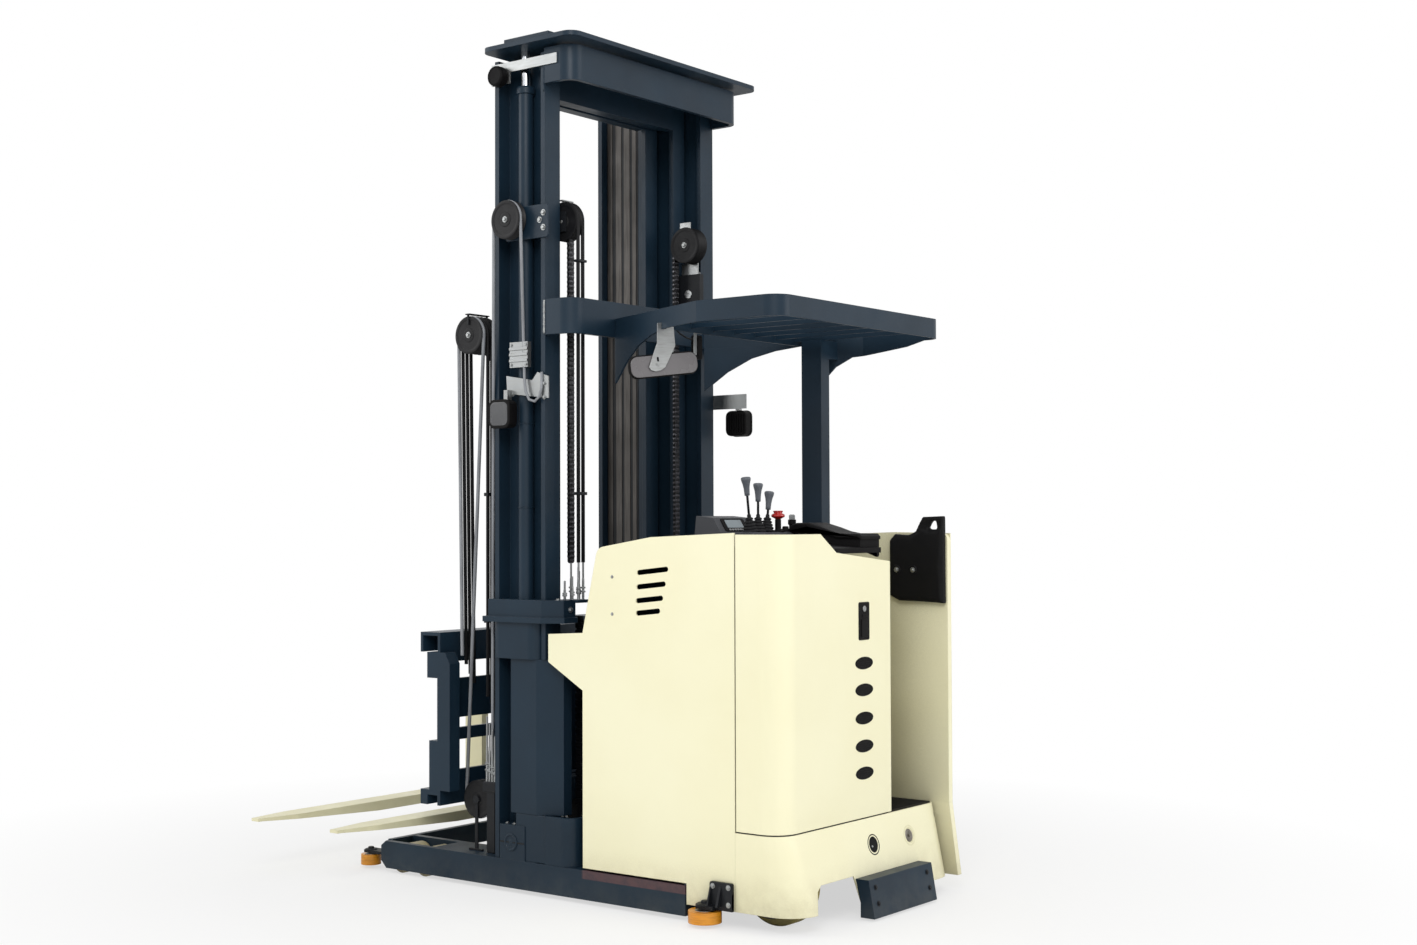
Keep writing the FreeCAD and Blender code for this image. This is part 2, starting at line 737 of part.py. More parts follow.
def inner_mast():
    side = rail("inner", rail_bottom_z, rail_top_z)
    rails = both_sides(side.fuse(rail_roller("inner", "middle", True, rail_bottom_z + 105)))
    x0 = post_x + rail_rows["inner"][2]
    half = rail_rows["inner"][0] - rail_rows["inner"][1]
    beams = [box(x0, x0 + 50, -half, half, z0, z0 + h) for z0, h in ((rail_top_z - 140, 120), (rail_bottom_z, 90))]
    return rails.fuse(beams).removeSplitter()


def barrels():
    tube = cyl_z(barrel_r, barrel_x, barrel_y, barrel_bottom_z, barrel_top_z)
    bore = cyl_z(rod_r + running_gap, barrel_x, barrel_y, barrel_bottom_z + 40, barrel_top_z + 5)
    return both_sides(tube.cut(bore))


def rods():
    z1 = post_top_z + head_plate_gap
    rod = cyl_z(rod_r, barrel_x, barrel_y, barrel_bottom_z + 60, z1)
    return both_sides(rod)


def traverse_frame():
    h = frame_half
    skin_x = channel_rear_x + frame_sheet
    top_z = frame_z1 - top_channel_h
    low_z = frame_z0 + low_channel_h
    end = prism_xz([(frame_rear_x, low_z), (frame_rear_x, top_z - 45), (frame_rear_x + 26, top_z),
                    (skin_x + 58, top_z), (skin_x + 58, top_z - 105), (skin_x, top_z - 105),
                    (skin_x, low_z + 200), (skin_x + 46, low_z + 200), (skin_x + 46, low_z)], h - 57, h)
    ends = both_sides(end)
    top = box(channel_rear_x, channel_front_x, -h, h, top_z, frame_z1)
    top = top.cut(box(channel_rear_x + 14, channel_front_x - 14, -h - 1, h + 1, top_z - 25, frame_z1 - 14))
    low = box(channel_rear_x, channel_front_x, -h, h, frame_z0, low_z)
    low = low.cut(box(channel_rear_x + 16, channel_front_x - 40, -h - 1, h + 1, frame_z0 - 20, low_z - 21))
    # each cross bar: bottom and top, up from the low channel's top
    rows = ((520, top_z - low_z + 5), (289, 450), (198, 247), (-5, 76))
    bars = [box(channel_rear_x, skin_x, -h + 20, h - 20, low_z + z0, low_z + z1) for z0, z1 in rows]
    stiles = both_sides(box(frame_rear_x, skin_x, stile_y0, stile_y1, low_z - 21, top_z + 15))
    return ends.fuse([top, low, stiles] + bars).removeSplitter()


def carriage_arms():
    # plates beside the stiles that run in between the inner rails, with a roller on each flange
    x0 = post_x + rail_rows["inner"][2] + flange
    x1 = x0 + post_depth - 2 * flange
    y1 = rail_rows["inner"][3] - web
    edge = rail_rows["inner"][0] - rail_rows["inner"][1]
    plate = box(x0 + 36, channel_rear_x, stile_y1, stile_y1 + 24, 344, 900)
    parts = [plate]
    for x, z in ((x1 - rail_roller_r - running_gap, 830), (x0 + rail_roller_r + running_gap, 420)):
        parts.append(cyl_y(rail_roller_r, x, z, edge + 4, y1 - 2))
        parts.append(cyl_y(18, x, z, stile_y1 + 10, y1 - 10))
    return both_sides(parts[0].fuse(parts[1:]).removeSplitter())


def shift_head():
    y0 = pivot_y - head_half
    y1 = pivot_y + head_half
    plate = box(head_plate_x, head_plate_x + 22, y0, y1, 195, 1034)
    hook = box(channel_rear_x - 8, head_plate_x + 22, y0, y1, frame_z1 + 6, frame_z1 + 28)
    upper = box(head_plate_x + 22, pivot_x + 60, pivot_y - 60, pivot_y + 60, 880, 985)
    lower = box(head_plate_x + 22, pivot_x + 60, pivot_y - 60, pivot_y + 60, 195, 240)
    post = cyl_z(pivot_r, pivot_x, pivot_y, 235, 885)
    pads = [box(channel_rear_x + 10, channel_front_x - 10, y, y + 36, frame_z1 + running_gap, frame_z1 + 8)
            for y in (pivot_y - 50, pivot_y + 14)]
    foot = box(channel_front_x + running_gap, head_plate_x + 2, pivot_y - 50, pivot_y + 50, 318, 354)
    return plate.fuse([hook, upper, lower, post, foot] + pads).removeSplitter()


def fork_carriage():
    y_bar = pivot_y + shank_face - fork_t
    x0 = pivot_x - fork_gap / 2 - fork_w / 2
    x1 = pivot_x + fork_gap / 2 + fork_w / 2
    bars = [box(x0, x1, y_bar - 28, y_bar, z0, z1) for z0, z1 in ((286, 350), (578, 645))]
    webs = [box(pivot_x - 80, pivot_x - 56, pivot_y - 40, y_bar, 262, 760),
            box(pivot_x + 56, pivot_x + 80, pivot_y - 40, y_bar, 262, 760)]
    sleeve = cyl_z(48, pivot_x, pivot_y, 240 + running_gap, 864)
    back = box(pivot_x - 80, pivot_x + 80, pivot_y + 20, y_bar - 4, 262, 760)
    body = sleeve.fuse(bars + webs + [back])
    return body.cut(cyl_z(pivot_r + pin_gap, pivot_x, pivot_y, 200, 900)).removeSplitter()


def fork(x):
    y_back = pivot_y + shank_face - fork_t
    y_face = pivot_y + shank_face
    tip = y_face + fork_length
    z1 = fork_top_z
    z0 = fork_top_z - fork_t
    shank = box(x - fork_w / 2, x + fork_w / 2, y_back, y_face, z0, shank_top_z)
    blade = prism_yz([(y_face, z0), (y_face + fork_length * 0.5, z0), (tip - 20, z1 - fork_tip_t),
                      (tip, z1 - fork_tip_t), (tip, z1), (y_face, z1)], x - fork_w / 2, x + fork_w / 2)
    nose = prism_xy([(x - fork_w / 2, y_back - 1), (x + fork_w / 2, y_back - 1), (x + fork_w / 2, tip - 190),
                     (x + 22, tip), (x - 22, tip), (x - fork_w / 2, tip - 190)], z0 - 1, shank_top_z + 1)
    return shank.fuse(blade).common(nose).removeSplitter()


def guard_outline(inset):
    h = guard_half - inset
    n = guard_neck_half - inset
    return [(guard_rear_x + inset, -h), (guard_rear_x + inset, h), (guard_splay_x, h),
            (yoke_rear_x, n), (yoke_rear_x, -n), (guard_splay_x, -h)]


def guard_frame():
    # a rim of plate on edge, with a cross bar and slats between the bar and the rear
    z0 = guard_top_z - guard_rim_h
    rim = prism_xy(guard_outline(0), z0, guard_top_z)
    rim = rim.makeFillet(70, vertical_edges(rim, lambda p: p.x < guard_rear_x + 1))
    hollow = prism_xy(guard_outline(guard_t), z0 - 1, guard_top_z + 1)
    hollow = hollow.makeFillet(62, vertical_edges(hollow, lambda p: p.x < guard_rear_x + guard_t + 1))
    cross = box(600, 600 + guard_t, -guard_half, guard_half, z0, guard_top_z - 6).common(rim)
    slats = [box(guard_rear_x + 2, 602, i * 140.0 - 4, i * 140.0 + 4, guard_top_z - 62, guard_top_z - 6)
             for i in range(-3, 4)]
    parts = [cross] + slats + guard_gussets() + [guard_post(), post_gusset()]
    return rim.cut(hollow).fuse(parts).removeSplitter()


def guard_gussets():
    # plates below the splayed rims where they meet the mast, with a hollow lower edge
    run = V(yoke_rear_x - guard_splay_x, guard_neck_half - guard_half, 0)
    start = V(guard_splay_x, guard_half, 0)
    low = guard_top_z - guard_rim_h
    curve = [(0.39, 4), (0.39, 0), (0.55, -17), (0.70, -46), (0.85, -101), (1.0, -179), (1.0, 4)]
    points = [start + run * share + V(0, 0, low + drop) for share, drop in curve]
    inward = V(run.y, -run.x, 0).normalize() * guard_t
    plate = polygon(points).extrude(inward)
    return [plate, mirror(plate)]


def far_rim_y(x):
    # outer face of the guard's far rim, which draws in towards the mast
    share = (x - guard_splay_x) / (yoke_rear_x - guard_splay_x)
    return -guard_half + (guard_half - guard_neck_half) * max(0, share)


def post_gusset():
    # the far rim deepens in a curve towards the post, and a block ties the two
    low = guard_top_z - guard_rim_h
    x0 = guard_post_x - guard_post_w / 2
    x1 = guard_post_x + guard_post_w / 2
    start = guard_rear_x + 84
    curve = [(0, 0), (0.17, 21), (0.52, 42), (0.69, 51), (0.82, 90), (0.92, 148), (1, 160)]
    points = [(start + (x1 - start) * share, low - drop) for share, drop in curve]
    profile = prism_xz([(start, low + 10)] + points + [(x1, low + 10)], -guard_half - 1, guard_post_y - 30)
    outer = prism_xy(guard_outline(0), low - 200, low + 10)
    inner = prism_xy(guard_outline(guard_t), low - 201, low + 11)
    tie = prism_xy([(x0, guard_post_y), (x1, guard_post_y), (x1, far_rim_y(x1)), (x0, far_rim_y(x0))],
                   low - 60, guard_top_z - 62)
    return profile.common(outer.cut(inner)).fuse(tie)


def guard_post():
    w = guard_post_w / 2
    return box(guard_post_x - w, guard_post_x + w, guard_post_y - 30, guard_post_y + 30,
               leg_top_z, guard_top_z - 62)


def bumper():
    x0 = -skirt_flare
    x1 = x0 + skirt_flare * (bumper_top_z - body_bottom) / (skirt_top - body_bottom)
    return prism_xz([(x0, bumper_bottom_z), (x0 - bumper_bottom_depth, bumper_bottom_z),
                     (x0 - bumper_top_depth, bumper_top_z), (x1, bumper_top_z), (x0, body_bottom)],
                    bumper_y0, bumper_y1)


def drive_wheel():
    tyre = cyl_y(wheel_r, wheel_x, wheel_r, wheel_y - wheel_w / 2, wheel_y + wheel_w / 2)
    tyre = tyre.makeChamfer(7, [e for e in tyre.Edges if e.Length > 2 * wheel_r])
    return tyre.cut(cyl_y(wheel_axle_r + pin_gap, wheel_x, wheel_r, wheel_y - wheel_w, wheel_y + wheel_w))


def drive_unit():
    case = cyl_y(wheel_r - 34, wheel_x, wheel_r, wheel_y + wheel_w / 2 + 6, wheel_y + wheel_w / 2 + 40)
    top = box(wheel_x - 70, wheel_x + 70, wheel_y - 60, wheel_y + wheel_w / 2 + 40, wheel_r * 2 + 8, wheel_r * 2 + 30)
    side = box(wheel_x - 70, wheel_x + 70, wheel_y + wheel_w / 2 + 6, wheel_y + wheel_w / 2 + 40, wheel_r, wheel_r * 2 + 30)
    neck = cyl_z(hub_r, wheel_x, wheel_y, wheel_r * 2 + 20, deck_z + deck_t)
    axle = cyl_y(wheel_axle_r, wheel_x, wheel_r, wheel_y - wheel_w / 2, wheel_y + wheel_w / 2 + 10)
    return case.fuse([top, side, neck, axle]).removeSplitter()


def battery():
    half = body_half - leg_w - 6
    return box(battery_rear_x, battery_front_x, -half, half, chassis_plate_z + chassis_plate_t, battery_top_z)


def castor_fork():
    x = castor_x
    y = castor_y
    axle_x = x - castor_trail
    low_z = cabin_floor_z - cabin_floor_t - deck_t
    side_y = castor_w / 2 + 5
    crown = box(axle_x - 34, x + 40, y - side_y - 8, y + side_y + 8, 2 * castor_r + 8, 2 * castor_r + 20)
    cheeks = [box(axle_x - 26, x + 20, y + s * (side_y + 4) - 4, y + s * (side_y + 4) + 4,
                  castor_r - 20, 2 * castor_r + 10) for s in (-1, 1)]
    ring = cyl_z(36, x, y, 2 * castor_r + 20, low_z - running_gap)
    axle = cyl_y(castor_axle_r, axle_x, castor_r, y - side_y - 6, y + side_y + 6)
    return crown.fuse(cheeks + [ring, axle]).removeSplitter()


def castor_wheel():
    x = castor_x - castor_trail
    wheel = cyl_y(castor_r, x, castor_r, castor_y - castor_w / 2, castor_y + castor_w / 2)
    return wheel.cut(cyl_y(castor_axle_r + pin_gap, x, castor_r, castor_y - castor_w, castor_y + castor_w))


def guide_roller(row, side):
    x, y, radius = guide_rows[row]
    wheel = cyl_z(radius, x, y, guide_z, guide_z + guide_w)
    wheel = wheel.cut(cyl_z(guide_axle_r + pin_gap, x, y, 0, 200))
    return wheel if side > 0 else mirror(wheel)


def guide_pin(x, y, z1):
    pin = cyl_z(guide_axle_r, x, y, guide_z - 4, z1)
    return pin.fuse(cyl_z(2 * guide_axle_r, x, y, guide_z - 4, guide_z - 0.5))


def guide_brackets():
    # a plate over each roller, fixed to the body's side or the bar between the legs' tips
    z = guide_plate_z
    x, y, radius = guide_rows["rear"]
    arm = box(x - 50, x + 26, body_half, y + 22, z, z + 14)
    back = box(x - 120, x - 20, body_half, body_half + 12, z, z + 62)
    rear = arm.fuse([back, guide_pin(x, y, z + 24)]).removeSplitter()
    x, y, radius = guide_rows["front"]
    x0 = leg_tip_x + tip_bar_t - 4
    arm = box(x0, x + 22, y - 40, y + 20, z, z + 12)
    back = box(x0, x0 + 12, y - 60, body_half - 60, 44, 118)
    front = arm.fuse([back, guide_pin(x, y, z + 12)]).removeSplitter()
    return Part.makeCompound([rear, front, mirror(rear), mirror(front)])


def sheave(name):
    # a grooved wheel, its half section turned about its axle
    x, z, y0, y1, grooves = sheave_rows[name]
    pitch = (y1 - y0) / grooves
    outline = [V(x, y0, z), V(x, y0, z + sheave_r)]
    for i in range(grooves):
        y = y0 + i * pitch
        outline.append(V(x, y + pitch / 2, z + sheave_r - 2 * rope_r))
        outline.append(V(x, y + pitch, z + sheave_r))
    outline.append(V(x, y1, z))
    return polygon(outline).revolve(V(x, y0, z), V(0, 1, 0), 360)


def groove_y(name, i):
    y0, y1, grooves = sheave_rows[name][2:]
    return y0 + (i + 0.5) * (y1 - y0) / grooves


def cable_sheaves():
    # the cable from a clamp on the left post, over the upper sheave and down to the lower one
    x0, z0 = sheave_rows["cable_top"][:2]
    x1, z1 = sheave_rows["cable_foot"][:2]
    reach = sheave_r - 2 * rope_r + cable_r - 0.5
    y0 = groove_y("cable_top", 1)
    down = bar((x0 + reach, y0, z0), (x1 - reach, groove_y("cable_foot", 1), z1), cable_r, cable_r, 8)
    back = bar((x0 - reach, y0, z0), (x0 - reach + 10, rail_rows["outer"][0] + 14, clamp_z1), cable_r, cable_r, 8)
    return sheave("cable_top").fuse([sheave("cable_foot"), down, back]).removeSplitter()


def inner_hoses():
    # the hose sheave, its cheek on the left inner rail, and the runs that hang from it
    x, z, y0, y1, grooves = sheave_rows["hose_top"]
    foot_x, foot_z = sheave_rows["cable_foot"][:2]
    reach = sheave_r - 2 * rope_r + hose_r - 0.5
    last = grooves - 1
    parts = [bar((x - reach, groove_y("hose_top", last), z),
                 (foot_x + sheave_r - 2 * rope_r + cable_r + 0.5, groove_y("cable_foot", 1), foot_z), cable_r, cable_r - 2, 8)]
    for i in range(grooves):
        y = groove_y("hose_top", i)
        parts.append(bar((x + reach - 5, y, z), (x + reach - 5, y - 20, hose_end_z + 40 * i), hose_r, hose_r, 8))
    for i in range(last):
        y = groove_y("hose_top", i)
        parts.append(bar((x - reach, y, z), (x - reach, y, drop_end_z + 30 * i), hose_r, hose_r, 8))
    rail_y = rail_rows["inner"][0]
    rail_x = post_x + rail_rows["inner"][2] + post_depth
    cheek = prism_xz([(rail_x - flange, z - 100), (rail_x + 40, z - 40), (rail_x + 40, z + 40),
                      (rail_x - flange, z + 60)], y0 - 12, y0 - 2)
    arm = box(rail_x - flange, rail_x, rail_y, y0 - 2, z - 60, z + 40)
    pin = cyl_y(sheave_pin_r, x, z, y0 - 12, y0 + 1)
    return sheave("hose_top").fuse(parts + [cheek, arm, pin]).removeSplitter()


def chain_sheaves():
    # chains and hoses over a pair of sheaves behind the middle rails
    x, z = sheave_rows["chain_top_left"][:2]
    reach = sheave_r - 2 * rope_r + hose_r - 0.5
    left = [bar((x + reach, groove_y("chain_top_left", i), z), (x + reach, groove_y("chain_top_left", i), drop_end_z),
                hose_r, hose_r, 8) for i in (0, 2)]
    left += [bar((x - reach, groove_y("chain_top_left", i), z), (x - reach, groove_y("chain_top_left", i), chain_end_z),
                 hose_r, hose_r, 8) for i in (0, 2)]
    y = groove_y("chain_top_left", 1)
    left.append(box(x - 22 - chain_t / 2, x - 22 + chain_t / 2, y - chain_w / 2, y + chain_w / 2, chain_end_z, z - 66))
    x, z = sheave_rows["chain_top_right"][:2]
    y = groove_y("chain_top_right", 1)
    edge = x + sheave_r - 2 * rope_r - 0.5
    right = box(edge, edge + chain_t, y - chain_w / 2, y + chain_w / 2, chain_end_z, z)
    return Part.makeCompound([sheave("chain_top_left").fuse(left).removeSplitter(),
                              sheave("chain_top_right").fuse(right).removeSplitter()])


def sheave_brackets_fixed():
    # a bent plate outside the left post and an upright on the left leg
    x, z, y0, y1, grooves = sheave_rows["cable_top"]
    post_y = rail_rows["outer"][0]
    top = box(post_x - 22, x + 40, post_y, post_y + 8, z - 80, z + 51)
    top = top.fuse([box(x - 30, x + 30, post_y, y0 - 2, z - 34, z + 34), cyl_y(sheave_pin_r, x, z, post_y, y0)])
    x, z, y0, y1, grooves = sheave_rows["cable_foot"]
    foot = box(x - 36, x + 36, y1 + 2, y1 + 12, leg_top_z, z + 30)
    foot = foot.fuse(cyl_y(sheave_pin_r, x, z, y1, y1 + 10))
    return Part.makeCompound([top.removeSplitter(), foot.removeSplitter()])


def sheave_brackets_middle():
    # a cheek on the rear of each middle rail, outside its sheave
    cheeks = []
    rail_x = post_x + rail_rows["middle"][2]
    x, z, y0, y1, grooves = sheave_rows["chain_top_left"]
    cheek = box(x - 22, rail_x, y1 + 2, y1 + 10, z - 40, z + 40)
    cheeks.append(cheek.fuse(cyl_y(sheave_pin_r, x, z, y1, y1 + 10)).removeSplitter())
    x, z, y0, y1, grooves = sheave_rows["chain_top_right"]
    cheek = box(x - 22, rail_x, y0 - 10, y0 - 2, z - 40, z + 40)
    block = box(x - 34, rail_x, y0 - 29, y0 - 2, z - 266, z - 119)
    cheeks.append(cheek.fuse(cyl_y(sheave_pin_r, x, z, y0 - 10, y0)).removeSplitter())
    cheeks.append(block)
    return Part.makeCompound(cheeks)


def console():
    # a dash over the levers' feet, with a display pod ahead whose face tilts to the operator
    x = console_x
    z = console_top_z
    low = z - 45
    dash = [(x - 55, low), (x - 55, z - 9), (x - 40, z), (x + 95, z), (x + 130, z + 55), (x + 212, z + 63),
            (x + 225, low)]
    side = [(x - 55, low), (x - 55, z - 9), (x - 40, z), (x + 70, z), (x + 85, low)]
    pod = prism_xz(dash, -30, 215)
    wing = prism_xz(side, -130, -30)
    key = cyl_z(11, x - 20, key_y, z - 1, z + 28)
    body = pod.fuse([wing, key, cyl_z(14, x - 20, key_y, z + 28, z + 46)]).removeSplitter()
    return body.cut([below_cover(), armrest()])


def console_levers():
    # a bellows, a stem and a grip for each lever
    levers = []
    for base_y, knob_y, top_z in lever_rows:
        x = console_x
        z = console_top_z
        share = 58 / (top_z - z)
        mid = (x, base_y + (knob_y - base_y) * share, z + 58)
        share = 1 - 42 / (top_z - z)
        grip = (x, base_y + (knob_y - base_y) * share, top_z - 42)
        bellows = bar((x, base_y, z), mid, 23, 10, 10)
        stem = bar((x, base_y, z + 5), (x, knob_y, top_z - 5), 4.5, 4.5, 8)
        levers.append(bellows.fuse([stem, bar(grip, (x, knob_y, top_z), 8, 12, 10)]).removeSplitter())
    foot = box(x - 40, x + 40, 0, 250, z - 20, z)
    return Part.makeCompound([lever.cut(foot) for lever in levers])


def stop_button():
    x = console_x - 20
    z = console_top_z
    return cyl_z(10, x, stop_y, z, z + 60).fuse(cyl_z(20, x, stop_y, z + 58, z + 80)).removeSplitter()


def armrest():
    # a pad that arches up from the compartment's left wall to the console
    pad = prism_xz([(58, 1322), (58, 1392), (66, 1402), (162, 1404), (301, 1445), (372, 1436), (392, 1404),
                    (392, 1384), (330, 1380), (160, 1352), (62, 1316)], armrest_y0, armrest_y1)
    return pad.cut(below_cover())


def mirror_glass():
    w = mirror_w / 2
    h = mirror_h / 2
    y = mirror_y
    z = mirror_z
    x = 612.0
    return prism_yz([(y - w, z - h + 22), (y - w, z + h - 22), (y - w + 34, z + h), (y + w - 34, z + h),
                     (y + w, z + h - 22), (y + w, z - h + 22), (y + w - 34, z - h), (y - w + 34, z - h)], x, x + 18)


def work_lamp(x, y):
    # a square lamp with chamfered corners, y is its face next to the post
    w = lamp_w / 2
    c = 24
    z = lamp_z
    y1 = y + lamp_d if y > 0 else y - lamp_d
    return prism_xz([(x - w, z - w + c), (x - w, z + w - c), (x - w + c, z + w), (x + w - c, z + w),
                     (x + w, z + w - c), (x + w, z - w + c), (x + w - c, z - w), (x - w + c, z - w)],
                    min(y, y1), max(y, y1))


def work_lamps():
    face = rail_rows["outer"][0]
    drum = cyl_y(40, post_x + 222, post_top_z - 92, yoke_half + 6, yoke_half + 52)
    return Part.makeCompound([work_lamp(post_x + 186, face + 16), work_lamp(post_x - 112, -face - 10), drum])


def lamp_brackets():
    # plates on the posts' outer faces for the lamps, the cable clamp and the drum, and the mirror's arm
    face = rail_rows["outer"][0]
    z = lamp_z
    left = prism_xz([(1326, z + 154), (1186, z + 131), (1159, z + 161), (1101, z + 143), (1101, z + 57),
                     (1321, z + 83)], face, face + 5)
    top = z + lamp_w / 2
    hanger = box(1296, 1316, face + 5, face + 30, top, z + 96)
    right = box(945, 1140, -face - 5, -face, z + 62, z + 124)
    drop = box(985, 1005, -face - 24, -face - 5, top, z + 100)
    clamp = box(1197, 1293, face, face + 20, clamp_z0, clamp_z1)
    sensor = box(1051, 1300, yoke_half, yoke_half + 6, post_top_z - 75, post_top_z - 35)
    sensor = sensor.fuse(box(post_x, post_x + flange, face, yoke_half, post_top_z - 75, post_top_z - 35))
    flap = box(1300, 1400, yoke_half, yoke_half + 6, post_top_z - 120, post_top_z - 35)
    arm = box(608, 612, mirror_y - 50, mirror_y - 28, mirror_z - 20, guard_top_z - guard_rim_h + 25)
    return Part.makeCompound([left.fuse(hanger).removeSplitter(), right.fuse(drop).removeSplitter(), clamp,
                              sensor.fuse(flap).removeSplitter(), arm])


def write(name, shape):
    moved = shape.copy()
    moved.translate(-origin)
    solids = moved.Solids
    if not solids or not moved.isValid():
        raise ValueError(name)
    out = solids[0] if len(solids) == 1 else Part.makeCompound(solids)
    out.exportStep("parts/" + name + ".step")
    print(name, len(solids), round(sum(s.Volume for s in solids) / 1e6, 2), "litres")


def main():
    os.makedirs("parts", exist_ok=True)
    print("origin", origin)
    write("side_panel_left", left_side())
    write("side_panel_right", right_side())
    write("rear_skirt", rear_skirt())
    write("service_door", service_door())
    write("door_lock", door_lock())
    write("door_hinges", door_hinges())
    write("cabin_floor", cabin_floor())
    write("floor_mat", floor_mat())
    write("cabin_walls", cabin_walls())
    write("wall_pad", wall_pad())
    write("top_cover", top_cover())
    write("front_panel", front_panel())
    write("chassis_frame", chassis_frame())
    write("load_axles", load_axles())
    for side, word in ((1, "left"), (-1, "right")):
        for x, place in zip(roller_x, ("rear", "front")):
            write("load_roller_" + place + "_" + word, load_roller(x, side))
    rows = ((base_yoke_z, base_yoke_h), (guard_yoke_z, guard_yoke_h), (top_yoke_z, top_yoke_h))
    yokes = [yoke(z, height, post_x) for z, height in rows]
    write("mast_yokes", Part.makeCompound(yokes))
    write("outer_posts", outer_posts())
    write("cylinder_mounts", cylinder_mounts())
    write("middle_mast", middle_mast())
    write("inner_mast", inner_mast())
    write("lift_barrels", barrels())
    write("lift_rods", rods())
    write("traverse_frame", traverse_frame())
    write("carriage_arms", carriage_arms())
    write("shift_head", shift_head())
    write("fork_carriage", fork_carriage())
    write("fork_near", fork(pivot_x - fork_gap / 2))
    write("fork_far", fork(pivot_x + fork_gap / 2))
    write("guard_frame", guard_frame())
    write("rear_bumper", bumper())
    write("drive_wheel", drive_wheel())
    write("drive_unit", drive_unit())
    write("battery", battery())
    write("guide_brackets", guide_brackets())
    for side, word in ((1, "left"), (-1, "right")):
        for row in guide_rows:
            write("guide_roller_" + row + "_" + word, guide_roller(row, side))
    write("castor_fork", castor_fork())
    write("castor_wheel", castor_wheel())
    write("cable_sheaves", cable_sheaves())
    write("cable_brackets", sheave_brackets_fixed())
    write("inner_hoses", inner_hoses())
    write("chain_sheaves", chain_sheaves())
    write("chain_brackets", sheave_brackets_middle())
    write("console", console())
    write("console_levers", console_levers())
    write("stop_button", stop_button())
    write("armrest", armrest())
    write("mirror", mirror_glass())
    write("work_lamps", work_lamps())
    write("lamp_brackets", lamp_brackets())


main()
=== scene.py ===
import json
import math
import bpy
import bmesh
from mathutils import Matrix, Vector


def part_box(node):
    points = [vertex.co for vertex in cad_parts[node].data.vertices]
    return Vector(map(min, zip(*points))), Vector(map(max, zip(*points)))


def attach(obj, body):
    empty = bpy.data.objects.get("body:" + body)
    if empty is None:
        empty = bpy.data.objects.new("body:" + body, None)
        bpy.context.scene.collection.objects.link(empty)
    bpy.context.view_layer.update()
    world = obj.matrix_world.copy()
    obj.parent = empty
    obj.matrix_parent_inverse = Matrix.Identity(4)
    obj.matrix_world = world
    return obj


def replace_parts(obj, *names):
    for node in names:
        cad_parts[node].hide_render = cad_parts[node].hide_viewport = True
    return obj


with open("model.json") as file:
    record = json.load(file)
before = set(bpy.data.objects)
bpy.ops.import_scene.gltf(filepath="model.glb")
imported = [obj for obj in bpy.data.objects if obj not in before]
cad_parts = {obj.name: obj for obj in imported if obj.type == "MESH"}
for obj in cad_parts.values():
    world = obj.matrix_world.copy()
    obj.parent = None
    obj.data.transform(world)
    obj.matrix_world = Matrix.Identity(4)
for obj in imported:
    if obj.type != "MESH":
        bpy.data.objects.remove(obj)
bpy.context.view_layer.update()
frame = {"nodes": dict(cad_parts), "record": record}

# The model is laid out in millimetres from the rear door's face, the centre plane and the floor.
ORIGIN = Vector((1167.5, 142.5, 0.0))
UP = (0, 0, 1)
LEFT = (0, 1, 0)
BACK = (-1, 0, 0)
SIDES = ((1, "left"), (-1, "right"))


def point(x, y, z):
    return (Vector((x, y, z)) - ORIGIN) / 1000.0


def srgb(r, g, b):
    def lin(v):
        v = v / 255.0
        return v / 12.92 if v <= 0.04045 else ((v + 0.055) / 1.055) ** 2.4
    return (lin(r), lin(g), lin(b), 1.0)


def add_object(name, data):
    made = bpy.data.objects.new(name, data)
    bpy.context.scene.collection.objects.link(made)
    return made


# Materials; colours are sRGB triples from 0 to 255, and sizes are metres

BUMP_DEPTH = 0.0006
CORNER_REACH = 0.45
LEG_BAND_FOOT = (0.0970, 0.0990)
LEG_BAND_TOP = (0.1308, 0.1320)
LEG_BAND_END = (-0.245, -0.235)


def node(tree, kind, **values):
    made = tree.nodes.new(kind)
    for key, value in values.items():
        setattr(made, key, value)
    return made


def fill(made, values):
    for name, value in values.items():
        made.inputs[name].default_value = value


def noise(tree, coords, scale, detail=3.0, rough=0.5, stretch=None):
    source = coords
    if stretch:
        mapping = node(tree, "ShaderNodeMapping")
        fill(mapping, {"Scale": stretch})
        tree.links.new(coords, mapping.inputs["Vector"])
        source = mapping.outputs["Vector"]
    made = node(tree, "ShaderNodeTexNoise")
    fill(made, {"Scale": scale, "Detail": detail, "Roughness": rough})
    tree.links.new(source, made.inputs["Vector"])
    return made.outputs["Fac"]


def span(tree, value, low, high, to_low, to_high):
    made = node(tree, "ShaderNodeMapRange")
    fill(made, {"From Min": low, "From Max": high, "To Min": to_low, "To Max": to_high})
    tree.links.new(value, made.inputs["Value"])
    return made.outputs["Result"]


def mask(tree, value, low, high):
    # 0 up to low, rising to 1 at high
    return span(tree, value, low, high, 0.0, 1.0)


def maths(tree, operation, a, b):
    made = node(tree, "ShaderNodeMath", operation=operation)
    tree.links.new(a, made.inputs[0])
    tree.links.new(b, made.inputs[1])
    return made.outputs[0]


def times(tree, a, b):
    return maths(tree, "MULTIPLY", a, b)


def blend(tree, factor, a, b):
    # each of a and b is a colour or a socket that gives one
    made = node(tree, "ShaderNodeMix", data_type="RGBA")
    tree.links.new(factor, made.inputs["Factor"])
    for value, name in ((a, "A"), (b, "B")):
        socket = [s for s in made.inputs if s.name == name and s.type == "RGBA"][0]
        if isinstance(value, tuple):
            socket.default_value = srgb(*value)
        else:
            tree.links.new(value, socket)
    return [s for s in made.outputs if s.type == "RGBA"][0]


